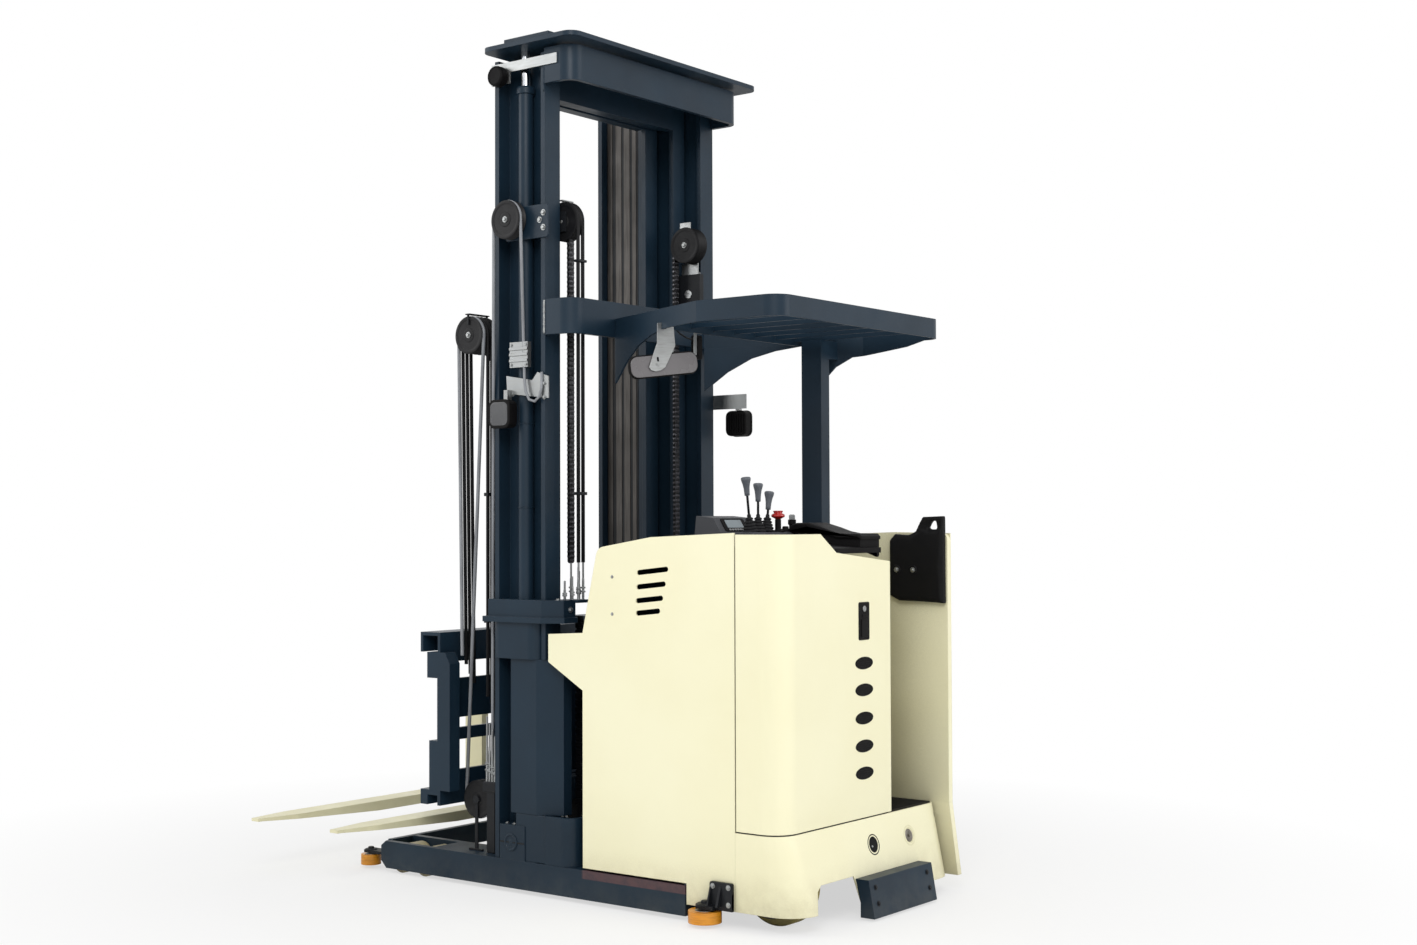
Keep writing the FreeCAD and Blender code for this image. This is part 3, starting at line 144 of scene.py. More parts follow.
def axes(tree, coords):
    split = node(tree, "ShaderNodeSeparateXYZ")
    tree.links.new(coords, split.inputs[0])
    return split.outputs


def scuffs(tree, coords, colour, scuff, level):
    # small marks in a few patches
    patches = mask(tree, noise(tree, coords, 5.0, 4.0), 0.5, 0.62)
    marks = mask(tree, noise(tree, coords, 70.0, 6.0, 0.7, (1.0, 1.0, 3.0)), level, level + 0.05)
    return blend(tree, times(tree, patches, marks), colour, scuff)


def floor_dust(tree, coords, colour, dust, top):
    # dust that thins out up to a height
    thinning = span(tree, axes(tree, coords)["Z"], 0.0, top, 0.7, 0.0)
    cloudy = mask(tree, noise(tree, coords, 14.0, 6.0, 0.65), 0.3, 0.7)
    return blend(tree, times(tree, thinning, cloudy), colour, dust)


def worn_band(tree, coords, colour, worn):
    # a worn band along the legs' upper edges, beside the body
    place = axes(tree, coords)
    foot = mask(tree, place["Z"], *LEG_BAND_FOOT)
    top = span(tree, place["Z"], *LEG_BAND_TOP, 1.0, 0.0)
    patchy = span(tree, noise(tree, coords, 16.0, 6.0, 0.7, (1.0, 2.0, 1.0)), 0.32, 0.55, 0.45, 0.95)
    along = times(tree, span(tree, place["X"], *LEG_BAND_END, 1.0, 0.0), patchy)
    return blend(tree, times(tree, times(tree, foot, top), along), colour, worn)


def painted_corner_shade(tree, colour, shade_colour):
    # painted shade: the colour darkens towards the given shade colour where ambient occlusion finds nearby
    # surfaces, in corners, recesses and seams
    occlusion = node(tree, "ShaderNodeAmbientOcclusion", samples=4)
    fill(occlusion, {"Distance": CORNER_REACH})
    share = span(tree, occlusion.outputs["AO"], 0.25, 0.8, 0.72, 0.0)
    return blend(tree, share, colour, shade_colour)


def surface_relief(tree, coords, grain, peel, relief, edge):
    # fine grain, the orange peel of paint and softened edges, as one normal
    bump = node(tree, "ShaderNodeBump")
    fill(bump, {"Strength": relief, "Distance": BUMP_DEPTH})
    height = noise(tree, coords, grain, 2.0)
    if peel:
        mixed = node(tree, "ShaderNodeMath", operation="MULTIPLY_ADD")
        tree.links.new(noise(tree, coords, 120.0, 1.0), mixed.inputs[0])
        mixed.inputs[1].default_value = peel
        tree.links.new(height, mixed.inputs[2])
        height = mixed.outputs[0]
    tree.links.new(height, bump.inputs["Height"])
    if edge:
        rounded = node(tree, "ShaderNodeBevel", samples=4)
        fill(rounded, {"Radius": edge})
        tree.links.new(rounded.outputs["Normal"], bump.inputs["Normal"])
    return bump.outputs["Normal"]


def finish(name, first, second, rough=(0.35, 0.5), metal=0.0, coat=0.0, cloud=2.5, grain=900.0,
           relief=0.25, peel=0.0, scuff=None, scuff_level=0.66, dust=None, dust_top=0.3, streak=None,
           edge=0.0015, spec=0.5, corner_shade=None, worn=None):
    # a material with two clouded tones, its wear and painted shade in corners and recesses; streak holds a
    # scale, a stretch and a colour
    mat = bpy.data.materials.new(name)
    mat.use_nodes = True
    tree = mat.node_tree
    shader = tree.nodes["Principled BSDF"]
    coords = node(tree, "ShaderNodeTexCoord").outputs["Object"]
    clouds = mask(tree, noise(tree, coords, cloud, 5.0), 0.35, 0.65)
    colour = blend(tree, clouds, first, second)
    if streak:
        scale, stretch, tone = streak
        lines = mask(tree, noise(tree, coords, scale, 6.0, 0.6, stretch), 0.45, 0.75)
        colour = blend(tree, lines, colour, tone)
    if scuff:
        colour = scuffs(tree, coords, colour, scuff, scuff_level)
    if dust:
        colour = floor_dust(tree, coords, colour, dust, dust_top)
    if worn:
        colour = worn_band(tree, coords, colour, worn)
    # painted shade: a darker colour in corners and recesses
    if corner_shade:
        colour = painted_corner_shade(tree, colour, corner_shade)
    tree.links.new(colour, shader.inputs["Base Color"])
    roughness = span(tree, noise(tree, coords, 9.0, 5.0), 0.3, 0.7, *rough)
    tree.links.new(roughness, shader.inputs["Roughness"])
    fill(shader, {"Metallic": metal, "Coat Weight": coat, "Coat Roughness": 0.15, "Specular IOR Level": spec})
    normal = surface_relief(tree, coords, grain, peel, relief, edge)
    tree.links.new(normal, shader.inputs["Normal"])
    return mat


SLATE = {"first": (26, 45, 60), "second": (22, 38, 51), "rough": (0.36, 0.48), "coat": 0.04, "spec": 0.24,
         "cloud": 2.2, "peel": 2.0, "relief": 0.1, "dust": (66, 70, 72), "edge": 0.003}
MATERIALS = {
    # the darker cream given last is painted shade in corners and inside the compartment
    "body_cream": finish(
        "cream_paint", (249, 245, 211), (245, 240, 203), (0.30, 0.42), coat=0.25, cloud=1.6, peel=1.5,
        relief=0.06, dust=(190, 178, 140), dust_top=0.22, scuff=(205, 196, 160), scuff_level=0.72,
        edge=0.003, corner_shade=(150, 145, 118)),
    "fork_paint": finish(
        "fork_cream", (238, 233, 196), (226, 220, 182), cloud=4.0, peel=1.5, relief=0.1,
        scuff=(150, 140, 118), scuff_level=0.64, edge=0.002),
    "mast_paint": finish("slate_paint", **SLATE, dust_top=0.14, scuff=(84, 82, 78), scuff_level=0.7),
    "leg_slate": finish("leg_slate", **SLATE, dust_top=0.12, worn=(88, 66, 68)),
    "black_paint": finish(
        "black_paint", (28, 30, 34), (21, 23, 26), (0.4, 0.55), relief=0.15, spec=0.22),
    "battery_case": finish("battery_paint", (52, 55, 60), (42, 45, 50), (0.5, 0.65)),
    "zinc": finish(
        "zinc_plate", (168, 170, 170), (146, 149, 150), (0.28, 0.42), metal=0.9, relief=0.08, edge=0.001,
        streak=(18.0, (1.0, 1.0, 8.0), (152, 153, 151))),
    "chromed_rod": finish(
        "chromed_rod", (214, 216, 220), (204, 206, 212), (0.05, 0.12), metal=1.0, relief=0.03, edge=0,
        streak=(30.0, (6.0, 6.0, 1.0), (186, 188, 194))),
    "rail_steel": finish(
        "rail_steel", (88, 84, 80), (66, 62, 58), (0.4, 0.55), metal=0.3, relief=0.15, edge=0,
        streak=(14.0, (6.0, 6.0, 0.4), (50, 46, 42))),
    "steel": finish(
        "oiled_steel", (140, 136, 128), (112, 108, 102), (0.3, 0.45), metal=1.0, relief=0.2,
        streak=(22.0, (1.0, 6.0, 1.0), (92, 84, 72))),
    "cast": finish("casting", (44, 46, 50), (34, 36, 40), (0.5, 0.7), relief=0.6, grain=260.0),
    "drive_tyre": finish(
        "drive_tyre", (150, 138, 78), (128, 116, 62), (0.45, 0.6), relief=0.2, edge=0.006,
        streak=(16.0, (1.0, 8.0, 1.0), (104, 94, 56))),
    "roller_orange": finish(
        "orange_tyre", (232, 158, 38), (222, 142, 26), (0.3, 0.42), coat=0.2, relief=0.1, edge=0.005,
        streak=(18.0, (1.0, 1.0, 10.0), (186, 116, 26))),
    "load_tyre": finish(
        "load_tyre", (206, 196, 160), (186, 174, 136), relief=0.15, edge=0.004,
        streak=(14.0, (1.0, 7.0, 1.0), (146, 134, 104))),
    "sheave_plastic": finish(
        "sheave_nylon", (22, 22, 24), (17, 17, 19), (0.42, 0.55), relief=0.2, spec=0.22, edge=0.001,
        streak=(20.0, (1.0, 5.0, 1.0), (34, 34, 36))),
    "black_plastic": finish(
        "black_plastic", (15, 14, 15), (11, 10, 11), (0.5, 0.62), relief=0.5, spec=0.12, grain=1400.0),
    "grey_plastic": finish(
        "grey_plastic", (158, 160, 160), (148, 150, 151), (0.45, 0.55), relief=0.35, grain=1400.0),
    "mat_rubber": finish(
        "mat_rubber", (42, 41, 40), (34, 33, 32), (0.7, 0.85), relief=0.8, spec=0.12, grain=300.0,
        dust=(66, 63, 58), dust_top=0.4, edge=0),
    "console_grey": finish(
        "console_grey", (66, 68, 73), (57, 59, 64), (0.45, 0.58), relief=0.35, grain=1400.0),
    # a darker copy of the cream paint as painted shade on the compartment's walls, with painted shade in its
    # corners too
    "painted_shade_cream": finish(
        "painted_shade_cream", (232, 226, 190), (226, 220, 183), (0.32, 0.45), coat=0.15, cloud=1.8, peel=1.5,
        relief=0.06, edge=0.003, corner_shade=(140, 136, 112)),
    "pad_foam": finish(
        "pad_cover", (16, 16, 17), (12, 12, 13), (0.5, 0.62), relief=0.7, spec=0.14, grain=700.0, edge=0),
    "hose_rubber": finish(
        "hose_rubber", (26, 26, 28), (20, 20, 22), (0.55, 0.7), relief=0.4, spec=0.2, grain=800.0, edge=0),
    "cable": finish(
        "cable_sheath", (150, 153, 158), (134, 137, 142), (0.4, 0.5), relief=0.3, grain=600.0, edge=0,
        streak=(26.0, (1.0, 1.0, 0.2), (112, 113, 116))),
    "chain_steel": finish(
        "chain_steel", (120, 120, 124), (78, 78, 84), (0.25, 0.4), metal=1.0, relief=0.3, grain=500.0,
        streak=(60.0, (1.0, 1.0, 1.0), (52, 48, 46)), edge=0.0008),
    "screen": finish(
        "screen", (132, 146, 152), (120, 134, 141), (0.12, 0.2), relief=0.03, edge=0, coat=0.6),
    "grip_grey": finish(
        "grip_grey", (96, 101, 108), (84, 89, 96), (0.4, 0.5), relief=0.35, grain=1200.0, edge=0),
    "mirror_face": finish(
        "mirror_face", (104, 101, 103), (94, 91, 93), (0.22, 0.34), coat=0.5, relief=0.04, edge=0),
    "lens": finish(
        "lens", (54, 56, 60), (44, 46, 50), (0.1, 0.2), relief=0.4, grain=260.0, coat=0.8, edge=0),
    "red_plastic": finish(
        "red_plastic", (196, 30, 26), (180, 24, 22), (0.2, 0.3), coat=0.5, relief=0.05),
}

# nodes that don't look like the rest of their slot; the cabin walls take a darker copy of the cream as
# painted shade
NODE_LOOKS = {"console": "console_grey", "cabin_walls": "painted_shade_cream", "chassis_frame": "leg_slate"}

for row in frame["record"]["subparts"]:
    target = frame["nodes"][row["node"]]
    target.data.materials.clear()
    look = NODE_LOOKS.get(row["node"], row["material_slot"])
    target.data.materials.append(MATERIALS[look])


# Camera, light and floor; places are metres from the scene's origin

LENS_MM = 46.53
SENSOR_MM = 36.0
CAMERA_PLACE = (-4.8808, 5.6740, 1.4505)
CAMERA_VIEW = (0.60732, -0.79398, 0.02731)
CAMERA_ROLL = -0.2
SKY_STRENGTH = 0.62
FLOOR_HALF = 30
FLOOR_COLOUR = (0.86, 0.86, 0.85, 1.0)
GLOW_REACH = (1.4, 3.6)
GLOW_SHARE = (0.62, 1.0)


def camera():
    data = bpy.data.cameras.new("photo_camera")
    data.lens = LENS_MM
    data.sensor_width = SENSOR_MM
    data.clip_end = 100.0
    cam = add_object("photo_camera", data)
    view = Vector(CAMERA_VIEW).normalized()
    right = view.cross(Vector(UP)).normalized()
    up = right.cross(view)
    roll = math.radians(CAMERA_ROLL)
    rolled_right = right * math.cos(roll) + up * math.sin(roll)
    rolled_up = up * math.cos(roll) - right * math.sin(roll)
    rotation = Matrix((rolled_right, rolled_up, -view)).transposed().to_4x4()
    cam.matrix_world = Matrix.Translation(CAMERA_PLACE) @ rotation
    bpy.context.scene.camera = cam


def area_light(name, place, target, size, power):
    data = bpy.data.lights.new(name, "AREA")
    data.shape = "RECTANGLE"
    data.size, data.size_y = size
    data.energy = power
    lamp = add_object(name, data)
    lamp.location = place
    lamp.rotation_euler = (Vector(target) - Vector(place)).to_track_quat("-Z", "Y").to_euler()


def background(tree, strength):
    made = node(tree, "ShaderNodeBackground")
    fill(made, {"Color": (1.0, 1.0, 1.0, 1.0), "Strength": strength})
    return made.outputs[0]


def mixed_output(tree, kind, share, first, second):
    mix = node(tree, "ShaderNodeMixShader")
    for source, socket in zip((share, first, second), mix.inputs):
        tree.links.new(source, socket)
    tree.links.new(mix.outputs[0], node(tree, kind).inputs["Surface"])


def world_light():
    # a soft sky that the camera, glass and reflections see as plain white
    world = bpy.data.worlds.new("studio")
    bpy.context.scene.world = world
    world.use_nodes = True
    tree = world.node_tree
    tree.nodes.clear()
    rays = node(tree, "ShaderNodeLightPath").outputs
    seen = rays["Is Camera Ray"]
    for kind in ("Is Transmission Ray", "Is Glossy Ray"):
        seen = maths(tree, "MAXIMUM", seen, rays[kind])
    mixed_output(tree, "ShaderNodeOutputWorld", seen, background(tree, SKY_STRENGTH), background(tree, 1.0))


def floor():
    # a white floor that takes shadows near the machine and glows plain white further out
    h = FLOOR_HALF
    mesh = bpy.data.meshes.new("floor")
    mesh.from_pydata([(-h, -h, 0), (h, -h, 0), (h, h, 0), (-h, h, 0)], [], [(0, 1, 2, 3)])
    plane = add_object("floor", mesh)
    mat = bpy.data.materials.new("floor_white")
    mat.use_nodes = True
    tree = mat.node_tree
    tree.nodes.clear()
    plain = node(tree, "ShaderNodeBsdfDiffuse")
    fill(plain, {"Color": FLOOR_COLOUR})
    glow = node(tree, "ShaderNodeEmission")
    fill(glow, {"Strength": 1.0})
    reach = node(tree, "ShaderNodeVectorMath", operation="LENGTH")
    tree.links.new(node(tree, "ShaderNodeTexCoord").outputs["Object"], reach.inputs[0])
    white = span(tree, reach.outputs["Value"], *GLOW_REACH, *GLOW_SHARE)
    share = times(tree, node(tree, "ShaderNodeLightPath").outputs["Is Camera Ray"], white)
    mixed_output(tree, "ShaderNodeOutputMaterial", share, plain.outputs[0], glow.outputs[0])
    mesh.materials.append(mat)


camera()
world_light()
floor()
area_light("key", (-5.0, 6.5, 6.5), (0.0, 0.0, 1.2), (4.0, 4.0), 330.0)
area_light("fill", (-7.5, -2.5, 4.0), (-0.5, 0.0, 1.2), (4.0, 4.0), 120.0)
area_light("front", (6.0, 4.5, 4.5), (0.5, 0.0, 1.2), (4.0, 4.0), 120.0)
bpy.context.scene.view_settings.view_transform = "Standard"


# Mesh helpers; each piece is one mesh on one body, made from parts in millimetres

WELD_STEP = 5.0


def put(name, bm, body, slot, material=None, smooth=False):
    # the look is the slot's own where no material is named
    mesh = bpy.data.meshes.new(name)
    bmesh.ops.recalc_face_normals(bm, faces=bm.faces)
    bm.to_mesh(mesh)
    bm.free()
    for face in mesh.polygons:
        face.use_smooth = smooth
    piece = add_object(name, mesh)
    mesh.materials.append(MATERIALS[material or slot])
    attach(piece, body)
    return piece


def across(axis):
    # two unit directions at right angles to a unit axis and to each other
    side = axis.orthogonal().normalized()
    return side, axis.cross(side)


def ring(centre, side, other, radius, count):
    # points round centre, which is in metres, with the radius in millimetres
    turns = [2 * math.pi * i / count for i in range(count)]
    return [centre + (side * math.cos(a) + other * math.sin(a)) * radius / 1000.0 for a in turns]


def add_rings(bm, rings):
    # a skin over rings of equal length, with flat caps
    made = [[bm.verts.new(v) for v in row] for row in rings]
    n = len(made[0])
    for low, high in zip(made, made[1:]):
        for i in range(n):
            j = (i + 1) % n
            bm.faces.new((low[i], low[j], high[j], high[i]))
    bm.faces.new(list(reversed(made[0])))
    bm.faces.new(made[-1])


def add_lathe(bm, centre, axis, profile, sides=32):
    # profile rows: radius, distance along the axis
    axis = Vector(axis).normalized()
    side, other = across(axis)
    base = point(*centre)
    add_rings(bm, [ring(base + axis * along / 1000.0, side, other, radius, sides)
                   for radius, along in profile])


def add_prism(bm, centre, axis, radius, length, sides, taper=1.0):
    # a many-sided bar along axis from centre, narrowed by taper at its far end
    add_lathe(bm, centre, axis, [(radius, 0.0), (radius * taper, length)], sides)


def add_bolt(bm, place, axis, radius):
    # washer, hexagon head and chamfered crown
    along = Vector(axis).normalized()
    foot = Vector(place)
    washer, head, crown = radius * 0.22, radius * 0.62, radius * 0.12
    add_prism(bm, foot, along, radius * 1.55, washer, 20)
    add_prism(bm, foot + along * washer, along, radius, head, 6)
    add_prism(bm, foot + along * (washer + head), along, radius * 0.93, crown, 12, 0.82)


def bolts(name, body, radius, axis, places, slot="zinc"):
    bm = bmesh.new()
    for place in places:
        add_bolt(bm, place, axis, radius)
    return put(name, bm, body, slot)


def add_tube(bm, points, radius, sides=10):
    # a round bar along points, its section carried along without twist
    path = [point(*p) for p in points]
    ways = [(b - a).normalized() for a, b in zip(path, path[1:])]
    tangents = [ways[0]] + [(a + b).normalized() for a, b in zip(ways, ways[1:])] + [ways[-1]]
    side = across(tangents[0])[0]
    rings = []
    for place, way in zip(path, tangents):
        side = (side - way * side.dot(way)).normalized()
        rings.append(ring(place, side, way.cross(side), radius, sides))
    add_rings(bm, rings)


def arc(cx, cz, r0, r1, a0, a1, y, steps=20):
    # points on a bow in an upright plane at y, with angles in degrees from the front upward
    out = []
    for i in range(steps + 1):
        t = i / steps
        a = math.radians(a0 + (a1 - a0) * t)
        r = r0 + (r1 - r0) * t
        out.append((cx + r * math.cos(a), y, cz + r * math.sin(a)))
    return out


def inset(outline, d):
    # the outline drawn in by d on every side
    area = sum(a[0] * b[1] - b[0] * a[1] for a, b in zip(outline, outline[1:] + outline[:1]))
    turn = 1.0 if area > 0 else -1.0
    out = []
    n = len(outline)
    for i in range(n):
        p0, p1, p2 = (Vector(outline[k % n]) for k in (i - 1, i, i + 1))
        a = (p1 - p0).normalized()
        b = (p2 - p1).normalized()
        na = Vector((-a.y, a.x)) * turn
        nb = Vector((-b.y, b.x)) * turn
        out.append(tuple(p1 + (na + nb) * d / max(1.0 + na.dot(nb), 0.4)))
    return out


def add_slab(bm, plane, outline, d0, d1, soft=1.5):
    # an outline with thickness and broken edges; plane is the axis that it is thick along
    def spot(a, b, d):
        return point(*{"x": (d, a, b), "y": (a, d, b), "z": (a, b, d)}[plane])
    c = min(soft, (d1 - d0) / 2.01)
    step = 0.3 * c
    small, mid = inset(outline, c), inset(outline, step)
    rows = ((small, d0), (mid, d0 + step), (outline, d0 + c),
            (outline, d1 - c), (mid, d1 - step), (small, d1))
    add_rings(bm, [[spot(a, b, d) for a, b in row] for row, d in rows])


def rect(a0, a1, b0, b1, r=0.0, steps=3):
    if not r:
        return [(a0, b0), (a1, b0), (a1, b1), (a0, b1)]
    corners = ((a1 - r, b0 + r, -90), (a1 - r, b1 - r, 0), (a0 + r, b1 - r, 90), (a0 + r, b0 + r, 180))
    out = []
    for cx, cy, start in corners:
        for i in range(steps + 1):
            a = math.radians(start + 90 * i / steps)
            out.append((cx + r * math.cos(a), cy + r * math.sin(a)))
    return out


def ellipse(cy, cz, a, b, steps=28):
    turns = [2 * math.pi * i / steps for i in range(steps)]
    return [(cy + a * math.cos(t), cz + b * math.sin(t)) for t in turns]


def slabs(name, body, slot, rows, material=None):
    # rows: plane, outline, near, far, soft edge
    bm = bmesh.new()
    for row in rows:
        add_slab(bm, *row)
    return put(name, bm, body, slot, material)


def block_group(name, body, slot, boxes, soft=1.5, material=None):
    # boxes as rows of low and high x, y and z
    rows = [("z", rect(x0, x1, y0, y1), z0, z1, soft) for x0, x1, y0, y1, z0, z1 in boxes]
    return slabs(name, body, slot, rows, material)


def tubes(name, body, slot, rows, material=None):
    bm = bmesh.new()
    for points, radius in rows:
        add_tube(bm, points, radius)
    return put(name, bm, body, slot, material, True)


def turned(name, body, slot, rows, sides=32, material=None):
    # rows: foot, axis, profile
    bm = bmesh.new()
    for centre, axis, profile in rows:
        add_lathe(bm, centre, axis, profile, sides)
    return put(name, bm, body, slot, material)


def weld(name, body, slot, runs):
    # beads whose radius ripples along their length
    bm = bmesh.new()
    for start, end, radius in runs:
        axis = Vector(end) - Vector(start)
        count = max(2, int(axis.length / WELD_STEP))
        profile = []
        for i in range(count + 1):
            ripple = (0.82 + 0.3 * ((i * 7) % 5) / 5.0) * (1.0 if i % 2 else 0.86)
            profile.append((radius * ripple, axis.length * i / count))
        add_lathe(bm, start, axis, profile, 8)
    put(name, bm, body, slot, smooth=True)


# The wall pad, a soft piece

PAD_THICK = 27.0
PAD_VOXEL = 0.005
PAD_SWELL = 0.006
PAD_STEPS = 20


def apply_all(piece):
    graph = bpy.context.evaluated_depsgraph_get()
    made = bpy.data.meshes.new_from_object(piece.evaluated_get(graph))
    old = piece.data
    piece.modifiers.clear()
    piece.data = made
    bpy.data.meshes.remove(old)
    for face in made.polygons:
        face.use_smooth = True


def inflate(piece, cap):
    # cloth under pressure, with no vertex moved further than the cap
    rest = [v.co.copy() for v in piece.data.vertices]
    cloth = piece.modifiers.new("cloth", "CLOTH")
    cloth.settings.use_pressure = True
    cloth.settings.uniform_pressure_force = 4.0
    cloth.settings.effector_weights.gravity = 0.0
    cloth.settings.tension_stiffness = 15.0
    scene = bpy.context.scene
    for i in range(1, PAD_STEPS + 1):
        scene.frame_set(i)
    apply_all(piece)
    for v, home in zip(piece.data.vertices, rest):
        move = v.co - home
        if move.length > cap:
            v.co = home + move.normalized() * cap
    scene.frame_set(1)
    smooth = piece.modifiers.new("smooth", "SUBSURF")
    smooth.levels = 1
    smooth.render_levels = 1
    apply_all(piece)


def flat_block(bm, outline, y0, y1):
    # an outline in x and z, between two depths
    front = [bm.verts.new(point(x, y0, z)) for x, z in outline]
    back = [bm.verts.new(point(x, y1, z)) for x, z in outline]
    bm.faces.new(front)
    bm.faces.new(list(reversed(back)))
    for i in range(len(outline)):
        j = (i + 1) % len(outline)
        bm.faces.new((front[i], back[i], back[j], front[j]))


def cut_hole(piece, outline, y0, y1):
    bm = bmesh.new()
    flat_block(bm, outline, y0, y1)
    bmesh.ops.recalc_face_normals(bm, faces=bm.faces)
    mesh = bpy.data.meshes.new("pad_hole")
    bm.to_mesh(mesh)
    bm.free()
    cutter = add_object("pad_hole", mesh)
    cut = piece.modifiers.new("hole", "BOOLEAN")
    cut.operation = "DIFFERENCE"
    cut.object = cutter
    apply_all(piece)
    bpy.data.objects.remove(cutter)


def wall_pad():
    # the foam pad on the compartment's right wall: a crowned slab with soft edges and a grip hole
    outline = [(-55, 1124), (158, 1130), (203, 1152), (203, 1378), (178, 1404), (110, 1404), (78, 1418),
               (40, 1475), (-55, 1475)]
    hole = [(-29, 1426), (21, 1426), (0, 1458), (-21, 1460)]
    wall_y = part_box("wall_pad")[0][1] * 1000 + ORIGIN.y
    bm = bmesh.new()
    flat_block(bm, outline, wall_y, wall_y + PAD_THICK)
    piece = put("wall_pad_cover", bm, "chassis", "pad_foam", smooth=True)
    cut_hole(piece, hole, wall_y - 20, wall_y + 80)
    remesh = piece.modifiers.new("remesh", "REMESH")
    remesh.mode = "VOXEL"
    remesh.voxel_size = PAD_VOXEL
    apply_all(piece)
    inflate(piece, PAD_SWELL)
    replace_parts(piece, "wall_pad")


# Sheaves and what runs over them

# name: x, z, low y, high y, grooves
SHEAVES = {
    "a": (1286.0, 2647.0, 556.0, 592.0, 2),
    "b": (1560.0, 2214.0, 428.0, 519.0, 4),
    "c": (1557.0, 334.0, 428.0, 472.0, 2),
    "d": (1122.0, 2640.0, 396.0, 437.0, 3),
    "e": (1122.0, 2640.0, -400.0, -342.0, 3),
}
SHEAVE_BODIES = {"a": "chassis", "b": "inner_mast", "c": "chassis", "d": "middle_mast", "e": "middle_mast"}

# from a sheave's pin to the middle of what runs in its groove; the last is down the front of sheave b
CABLE_REACH = 72.5
HOSE_REACH = 73.5
FRONT_REACH = 68.5

LINK_PITCH = 19.0
LINK_WIDTH = 15.5
LINK_THICK = 3.0


def groove(name, i):
    y0, y1, grooves = SHEAVES[name][2:]
    return y0 + (i + 0.5) * (y1 - y0) / grooves


def over_front(y, ends):
    # over sheave b from behind and down its front to the given heights
    x, z = SHEAVES["b"][:2]
    bow = arc(x, z, HOSE_REACH, FRONT_REACH, 180, 0, y)
    return bow + [(x + FRONT_REACH, y - 20, end) for end in ends]


def cables():
    ax, az = SHEAVES["a"][:2]
    cx, cz = SHEAVES["c"][:2]
    r = CABLE_REACH
    foot_y = groove("c", 1)
    top_y = groove("b", 3)
    path = [(ax - r + 10, 555, 2110), (ax - r + 10, 555, 2163)]
    path += arc(ax, az, r, r, 180, 0, groove("a", 1)) + arc(cx, cz, r, r, 180, 360, foot_y)
    loop = [(6, 556, 2066), (2, 558, 2010), (-6, 560, 1966), (-24, 560, 1934), (-52, 558, 1926),
            (-74, 555, 1944), (-82, 551, 1980), (-80, 548, 2040)]
    loop = [(ax - r + x, y, z) for x, y, z in loop]
    tubes("cable_fixed", "chassis", "grey_plastic", [(path, 6.4), (loop, 5.5)], "cable")
    path = [(cx + r + 1, foot_y, cz + 2), (SHEAVES["b"][0] - r - 1, top_y, SHEAVES["b"][1])]
    path += over_front(top_y, (920, 912))
    tubes("cable_rising", "inner_mast", "grey_plastic", [(path, 7.3)], "cable")


def hoses():
    radius = 7.4
    rows = []
    for i in range(3):
        y = groove("b", i)
        path = [(SHEAVES["b"][0] - HOSE_REACH, y, 694 + 30 * i)] + over_front(y, (796 + 40 * i,))
        rows.append((path, radius))
    tubes("hoses_inner", "inner_mast", "hose_rubber", rows)
    x, z = SHEAVES["d"][:2]
    rows = []
    for i in (0, 2):
        y = groove("d", i)
        bow = arc(x, z, HOSE_REACH, HOSE_REACH, 180, 0, y)
        rows.append(([(x - HOSE_REACH, y, 1296)] + bow + [(x + HOSE_REACH, y, 696)], radius))
    tubes("hoses_middle", "middle_mast", "hose_rubber", rows)


def add_link_plate(bm, x, y, z):
    # a figure of eight between two pins, upright
    r = LINK_WIDTH / 2
    out = []
    for half, start in ((1, 0), (-1, 180)):
        for i in range(7):
            a = math.radians(start + 30 * i)
            out.append((x + r * math.cos(a), z + half * LINK_PITCH / 2 + r * math.sin(a)))
        out.append((x - half * LINK_WIDTH * 0.36, z))
    add_rings(bm, [[point(a, d, b) for a, b in out] for d in (y - LINK_THICK / 2, y + LINK_THICK / 2)])


def chain(name, x, y, z0, z1, width):
    # leaf chain: odd rows have four plates, even rows three between them
    bm = bmesh.new()
    count = int((z1 - z0) / LINK_PITCH)
    for k in range(count):
        places = (-0.5, -0.16, 0.16, 0.5) if k % 2 else (-0.33, 0.0, 0.33)
        for place in places:
            add_link_plate(bm, x, y + place * (width - LINK_THICK), z0 + (k + 0.5) * LINK_PITCH)
    for k in range(count + 1):
        add_prism(bm, (x, y - width / 2 - 2, z0 + k * LINK_PITCH), LEFT, 4.0, width + 4, 10)
    put(name, bm, "middle_mast", "steel", "chain_steel")


def sheave_faces():
    # a dished face, a washer and a nut on the left side of each sheave
    face = [(76, 0.0), (76, 1.6), (70, 2.4), (64, 2.0), (60, 1.0), (30, 1.0), (27, 2.6), (22, 3.0), (8, 3.0)]
    washer = [(13, 0.0), (13, 2.0), (12, 2.4)]
    for name, body in SHEAVE_BODIES.items():
        x, z = SHEAVES[name][:2]
        y = SHEAVES[name][3]
        turned("sheave_face_" + name, body, "sheave_plastic", [((x, y - 0.4, z), LEFT, face)], 56)
        turned("sheave_washer_" + name, body, "zinc", [((x, y + 2.4, z), LEFT, washer)], 24)
        bolts("sheave_nut_" + name, body, 7.5, LEFT, [(x, y + 4.6, z)])


cables()
hoses()
chain("chain_left", 1100, groove("d", 1), 1300, 2574, 28)
chain("chain_right", 1194.5, groove("e", 1), 1300, 2640, 28)
sheave_faces()


# Console, levers and the operator's controls

CONSOLE_X = 420.0
CONSOLE_Z = 1413.0
POD_X = 515.0
POD_RISE = 0.844
POD_RUN = 0.537
LEVER_RADIUS = 30
LEVER_FOLD = 11.5

# levers: foot y, knob y, knob z
LEVERS = ((150.0, 180.0, 1624.0), (100.0, 99.0, 1602.0), (45.0, 24.0, 1571.0))


def display_spot(u, y, d):
    # a point on the pod's tilted face: u up the face, d out of it
    return (POD_X + POD_RUN * u - POD_RISE * d, y, CONSOLE_Z + POD_RISE * u + POD_RUN * d)


